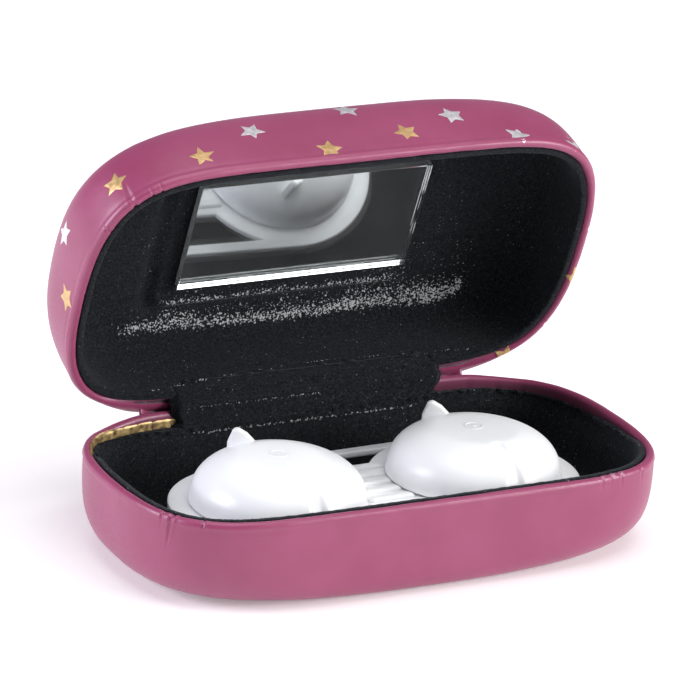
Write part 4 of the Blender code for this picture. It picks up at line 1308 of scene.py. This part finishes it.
def make_holder():
    """The twin-well holder: flange plate with a bar front and back, ribs, wells and threads."""
    outer = arc((WELL_OFFSET, 0.0), FLANGE_RADIUS, -90.0, 90.0, 90)
    outer += arc((-WELL_OFFSET, 0.0), FLANGE_RADIUS, 90.0, 270.0, 90)
    holes = [window_outline(1), window_outline(-1)]
    for side in (-1, 1):
        mouth = arc((side * WELL_OFFSET, 0.0), NECK_RADIUS - WELL_WALL / 2, 0.0, 357.0, 119)
        holes.append(mouth)
    flange = plate("lens_holder_flange", [outer] + holes, FLANGE_THICK, rounding=0.3)
    flange.location.z = -FLANGE_THICK / 2 * MM
    pieces = [flange]
    for side in (-1, 1):
        well = turned(f"well_{side}", well_profile(), steps=128)
        for piece in (well, make_thread(f"thread_{side}")):
            piece.location.x = side * WELL_OFFSET * MM
            pieces.append(piece)
    pieces += [make_rib(index) for index in range(RIB_COUNT)]
    bpy.context.view_layer.update()
    holder = join(pieces, "lens_holder_body")
    holder.matrix_world = on_holder(0.0)
    finish_piece(holder, "holder", ("lens_holder",))


FACET_RADIUS = 7.2              # the flat on a cap's top
GROOVE_ANGLE = math.radians(-90.0)
GROOVE_DEPTH, GROOVED_ROWS = 0.48, 50
MARK_PLACE = Vector((0.3, 1.2, 8.13))


def cap_profile():
    """A cap's outer side from its top, then its inner side back up."""
    profile = [(0.05, 8.15), (2.0, 8.15), (4.0, 8.15), (5.5, 8.148), (6.3, 8.14), (6.8, 8.125)]
    profile += bezier(((FACET_RADIUS, 8.08), (11.8, 7.2), (CAP_RADIUS, 4.6), (CAP_RADIUS, 1.4)), 40)
    skirt = ((0.02, 1.1), (0.08, 0.84), (0.15, 0.64), (0.25, 0.48), (0.24, 0.36), (0.1, 0.3),
             (-0.8, 0.3))
    profile += [(CAP_RADIUS + flare, height) for flare, height in skirt]
    radius, height = CAP_RADIUS - CAP_WALL, CAP_HEIGHT - CAP_WALL - 0.1
    profile += [(radius + 0.1, 0.34), (radius, 0.5)]
    profile += bezier(((radius, 2.6), (radius, 5.0), (10.4, height), (6.5, height)), 18)
    profile.append((0.05, height))
    return profile


def groove(points):
    """A shallow groove down the front of a cap's dome."""
    x, y, z = np.moveaxis(points, -1, 0)
    radius, angle = np.hypot(x, y), np.arctan2(y, x) - GROOVE_ANGLE
    half_width = 0.45 + 0.055 * radius
    dip = GROOVE_DEPTH * np.exp(-(radius * np.sin(angle) / half_width) ** 6)
    dip *= smooth_step(radius, 6.5, 7.6) * (np.cos(angle) > 0) * (z > 0.8)
    dip[GROOVED_ROWS:] = 0.0
    away = np.stack([x, y, 6.0 - 0.6 * (8.0 - z)], axis=-1)
    return -unit(away) * dip[..., None]


def make_ear():
    """A finger ear: a rounded fin standing at the back of the cap's flat."""
    rise, half = EAR_RISE + EAR_FOOT, EAR_LENGTH / 2
    outline = [(-half, 0.0), (half, -1.0), (half, 0.35 * rise)]
    outline += arc((0.4 * half, rise - 0.9), 0.9, 12.0, 118.0, 16)
    outline += [(-0.24 * half, 0.80 * rise), (-half * 0.8, 0.42 * rise), (-half, 0.3 * rise)]
    ear = plate("ear", [outline], EAR_THICK, rounding=0.42)
    place = Matrix.Translation(Vector((*EAR_PLACE, CAP_HEIGHT - EAR_FOOT)) * MM)
    upright = Matrix.Rotation(math.radians(90.0), 4, "X")
    ear.matrix_world = place @ Matrix.Rotation(EAR_TURN, 4, "Z") @ upright
    return ear


def make_mark(side):
    """Plain raised marks that tell the caps apart: a ring left, a ring with a dot right."""
    ring_profile = [(1.28, -0.05), (1.33, 0.08), (1.5, 0.13), (1.67, 0.08), (1.72, -0.05)]
    mark = turned("mark", ring_profile, steps=64)
    if side > 0:
        dot = turned("dot", [(0.02, 0.13), (0.3, 0.12), (0.44, 0.06), (0.48, -0.05)], steps=32)
        mark = join([mark, dot], "mark")
    mark.location = MARK_PLACE * MM
    return mark


def make_cap(name, side):
    dome = turned(name + "_dome", cap_profile(), steps=240, relief=groove)
    ear, mark = make_ear(), make_mark(side)
    bpy.context.view_layer.update()
    cap = join([dome, ear, mark], name + "_shell")
    cap.matrix_world = on_holder(side * WELL_OFFSET)
    finish_piece(cap, name, (name,))


# ---------------- loose fibres
FIBRE_LENGTH, FIBRE_HALF_WIDTH = 0.22, 0.022


def make_fibres(body, spots, rng):
    """Tiny fibres of flock standing off at the given points; each is a thin bent blade."""
    verts, faces = [], []
    for point, normal in spots:
        along = Vector((rng.gauss(0, 1), rng.gauss(0, 0.5), rng.gauss(0, 0.5))).normalized()
        size = FIBRE_LENGTH * rng.uniform(0.4, 1.1)
        lift = Vector(normal) * size * 0.35
        side = along.cross(Vector(normal)).normalized() * FIBRE_HALF_WIDTH
        base = Vector(point)
        middle, end = base + along * size / 2 + lift, base + along * size + lift * 0.6
        start = len(verts)
        verts += [base - side, base + side, middle - side, middle + side, end]
        faces += [(start, start + 1, start + 3, start + 2), (start + 2, start + 3, start + 4)]
    obj = add_mesh(body + "_flock_fibres", verts, faces, FIBRE, smooth=False)
    finish_piece(obj, body)


def ledge_spots(points, inward, rng, count):
    """Random points along a lining's ledge, with the way they stand off."""
    spots = []
    for _ in range(count):
        row, column = rng.randrange(1, len(LEDGE) - 1), rng.randrange(points.shape[1])
        spots.append((points[row, column], inward[row, column]))
    return spots


def ridge_spots(points, inward, rng, count):
    """Random points of the lid's lining, mostly along its ridge with the painted highlight."""
    wall = slice(10, -25)
    weights = ridge_strength(points)[wall].ravel() ** 1.5
    picks = rng.choices(range(weights.size), weights=list(weights), k=count)
    places, ways = points[wall].reshape(-1, 3), inward[wall].reshape(-1, 3)
    return [(places[pick], ways[pick]) for pick in picks]


# ---------------- the case
def make_case():
    make_cover(BASE, BASE_CREASES, seed=3)
    make_cover(LID, LID_CREASES, seed=7)
    make_stars()
    rng = random.Random(5)
    points, inward = make_lining(BASE, seed=13)
    make_fibres("base", ledge_spots(points, inward, rng, count=60), rng)
    points, inward = make_lining(LID, seed=17)
    spots = ledge_spots(points, inward, rng, count=40) + ridge_spots(points, inward, rng, count=600)
    make_fibres("lid", spots, rng)
    make_gold_turn_in()
    make_inner_strip()
    make_spine()
    make_mirror()
    make_spring("snap_spring_left")
    make_spring("snap_spring_right")
    make_holder()
    make_cap("left_cap", -1)
    make_cap("right_cap", 1)
    for name, node in frame["nodes"].items():
        if node.hide_render:
            continue
        material = FOAM if name == "mirror_tape" else STEEL
        node.data.materials.clear()
        node.data.materials.append(material)


# ---------------- floor, lights and camera
FLOOR_HALF = 4000.0


def make_stage():
    corners = np.array([(-1, -1, 0), (1, -1, 0), (1, 1, 0), (-1, 1, 0)]) * FLOOR_HALF
    floor = add_mesh("floor", corners, [(0, 1, 2, 3)], paper(), smooth=False)


LIT_PLACE = Vector((0.0, 0.0, 0.03))


def softbox(name, towards, distance, size, power, colour=(1.0, 1.0, 1.0), height=None):
    """A light that stands in a direction from the case and faces it."""
    light = bpy.data.lights.new(name, "AREA")
    light.shape = "RECTANGLE"
    light.size = size
    light.size_y = height or size
    light.energy = power
    light.color = colour
    obj = place_object(name, light)
    way = Vector(towards).normalized()
    obj.location = LIT_PLACE + way * distance
    obj.rotation_euler = way.to_track_quat("Z", "Y").to_euler()
    obj.visible_camera = False


def make_lights():
    world = bpy.data.worlds.new("studio")
    bpy.context.scene.world = world
    world.use_nodes = True
    background = world.node_tree.nodes["Background"]
    background.inputs["Color"].default_value = (0.97, 0.98, 1.0, 1.0)
    background.inputs["Strength"].default_value = 0.12
    softbox("top_light", (0.05, -0.15, 1.0), distance=1.1, size=1.0, power=8.2)
    softbox("left_light", (-1.0, 0.32, 0.40), distance=1.0, size=0.5, power=9.3,
            colour=(0.88, 0.89, 1.0))
    softbox("right_light", (0.72, -0.64, 0.33), distance=1.2, size=0.6, power=12.8, height=0.5)
    softbox("edge_light", (0.445, -0.827, 0.345), distance=1.2, size=0.25, power=1.2)
    view = bpy.context.scene.view_settings
    view.view_transform = "Standard"
    view.exposure = 0.0


CAMERA_PLACE = (-0.39054, -0.72177, 0.32802)
CAMERA_AZIMUTH, CAMERA_ELEVATION, CAMERA_ROLL = -28.112, 19.769, 3.337
CAMERA_LENS = 272.9


def make_camera():
    camera = bpy.data.cameras.new("camera")
    camera.lens = CAMERA_LENS
    camera.sensor_width = 36.0
    camera.clip_start = 0.01
    obj = place_object("camera", camera)
    turn = (Matrix.Rotation(math.radians(CAMERA_AZIMUTH), 4, "Z")
            @ Matrix.Rotation(math.radians(90.0 - CAMERA_ELEVATION), 4, "X")
            @ Matrix.Rotation(math.radians(CAMERA_ROLL), 4, "Z"))
    obj.matrix_world = Matrix.Translation(CAMERA_PLACE) @ turn
    bpy.context.scene.camera = obj


make_case()
make_stage()
make_lights()
make_camera()
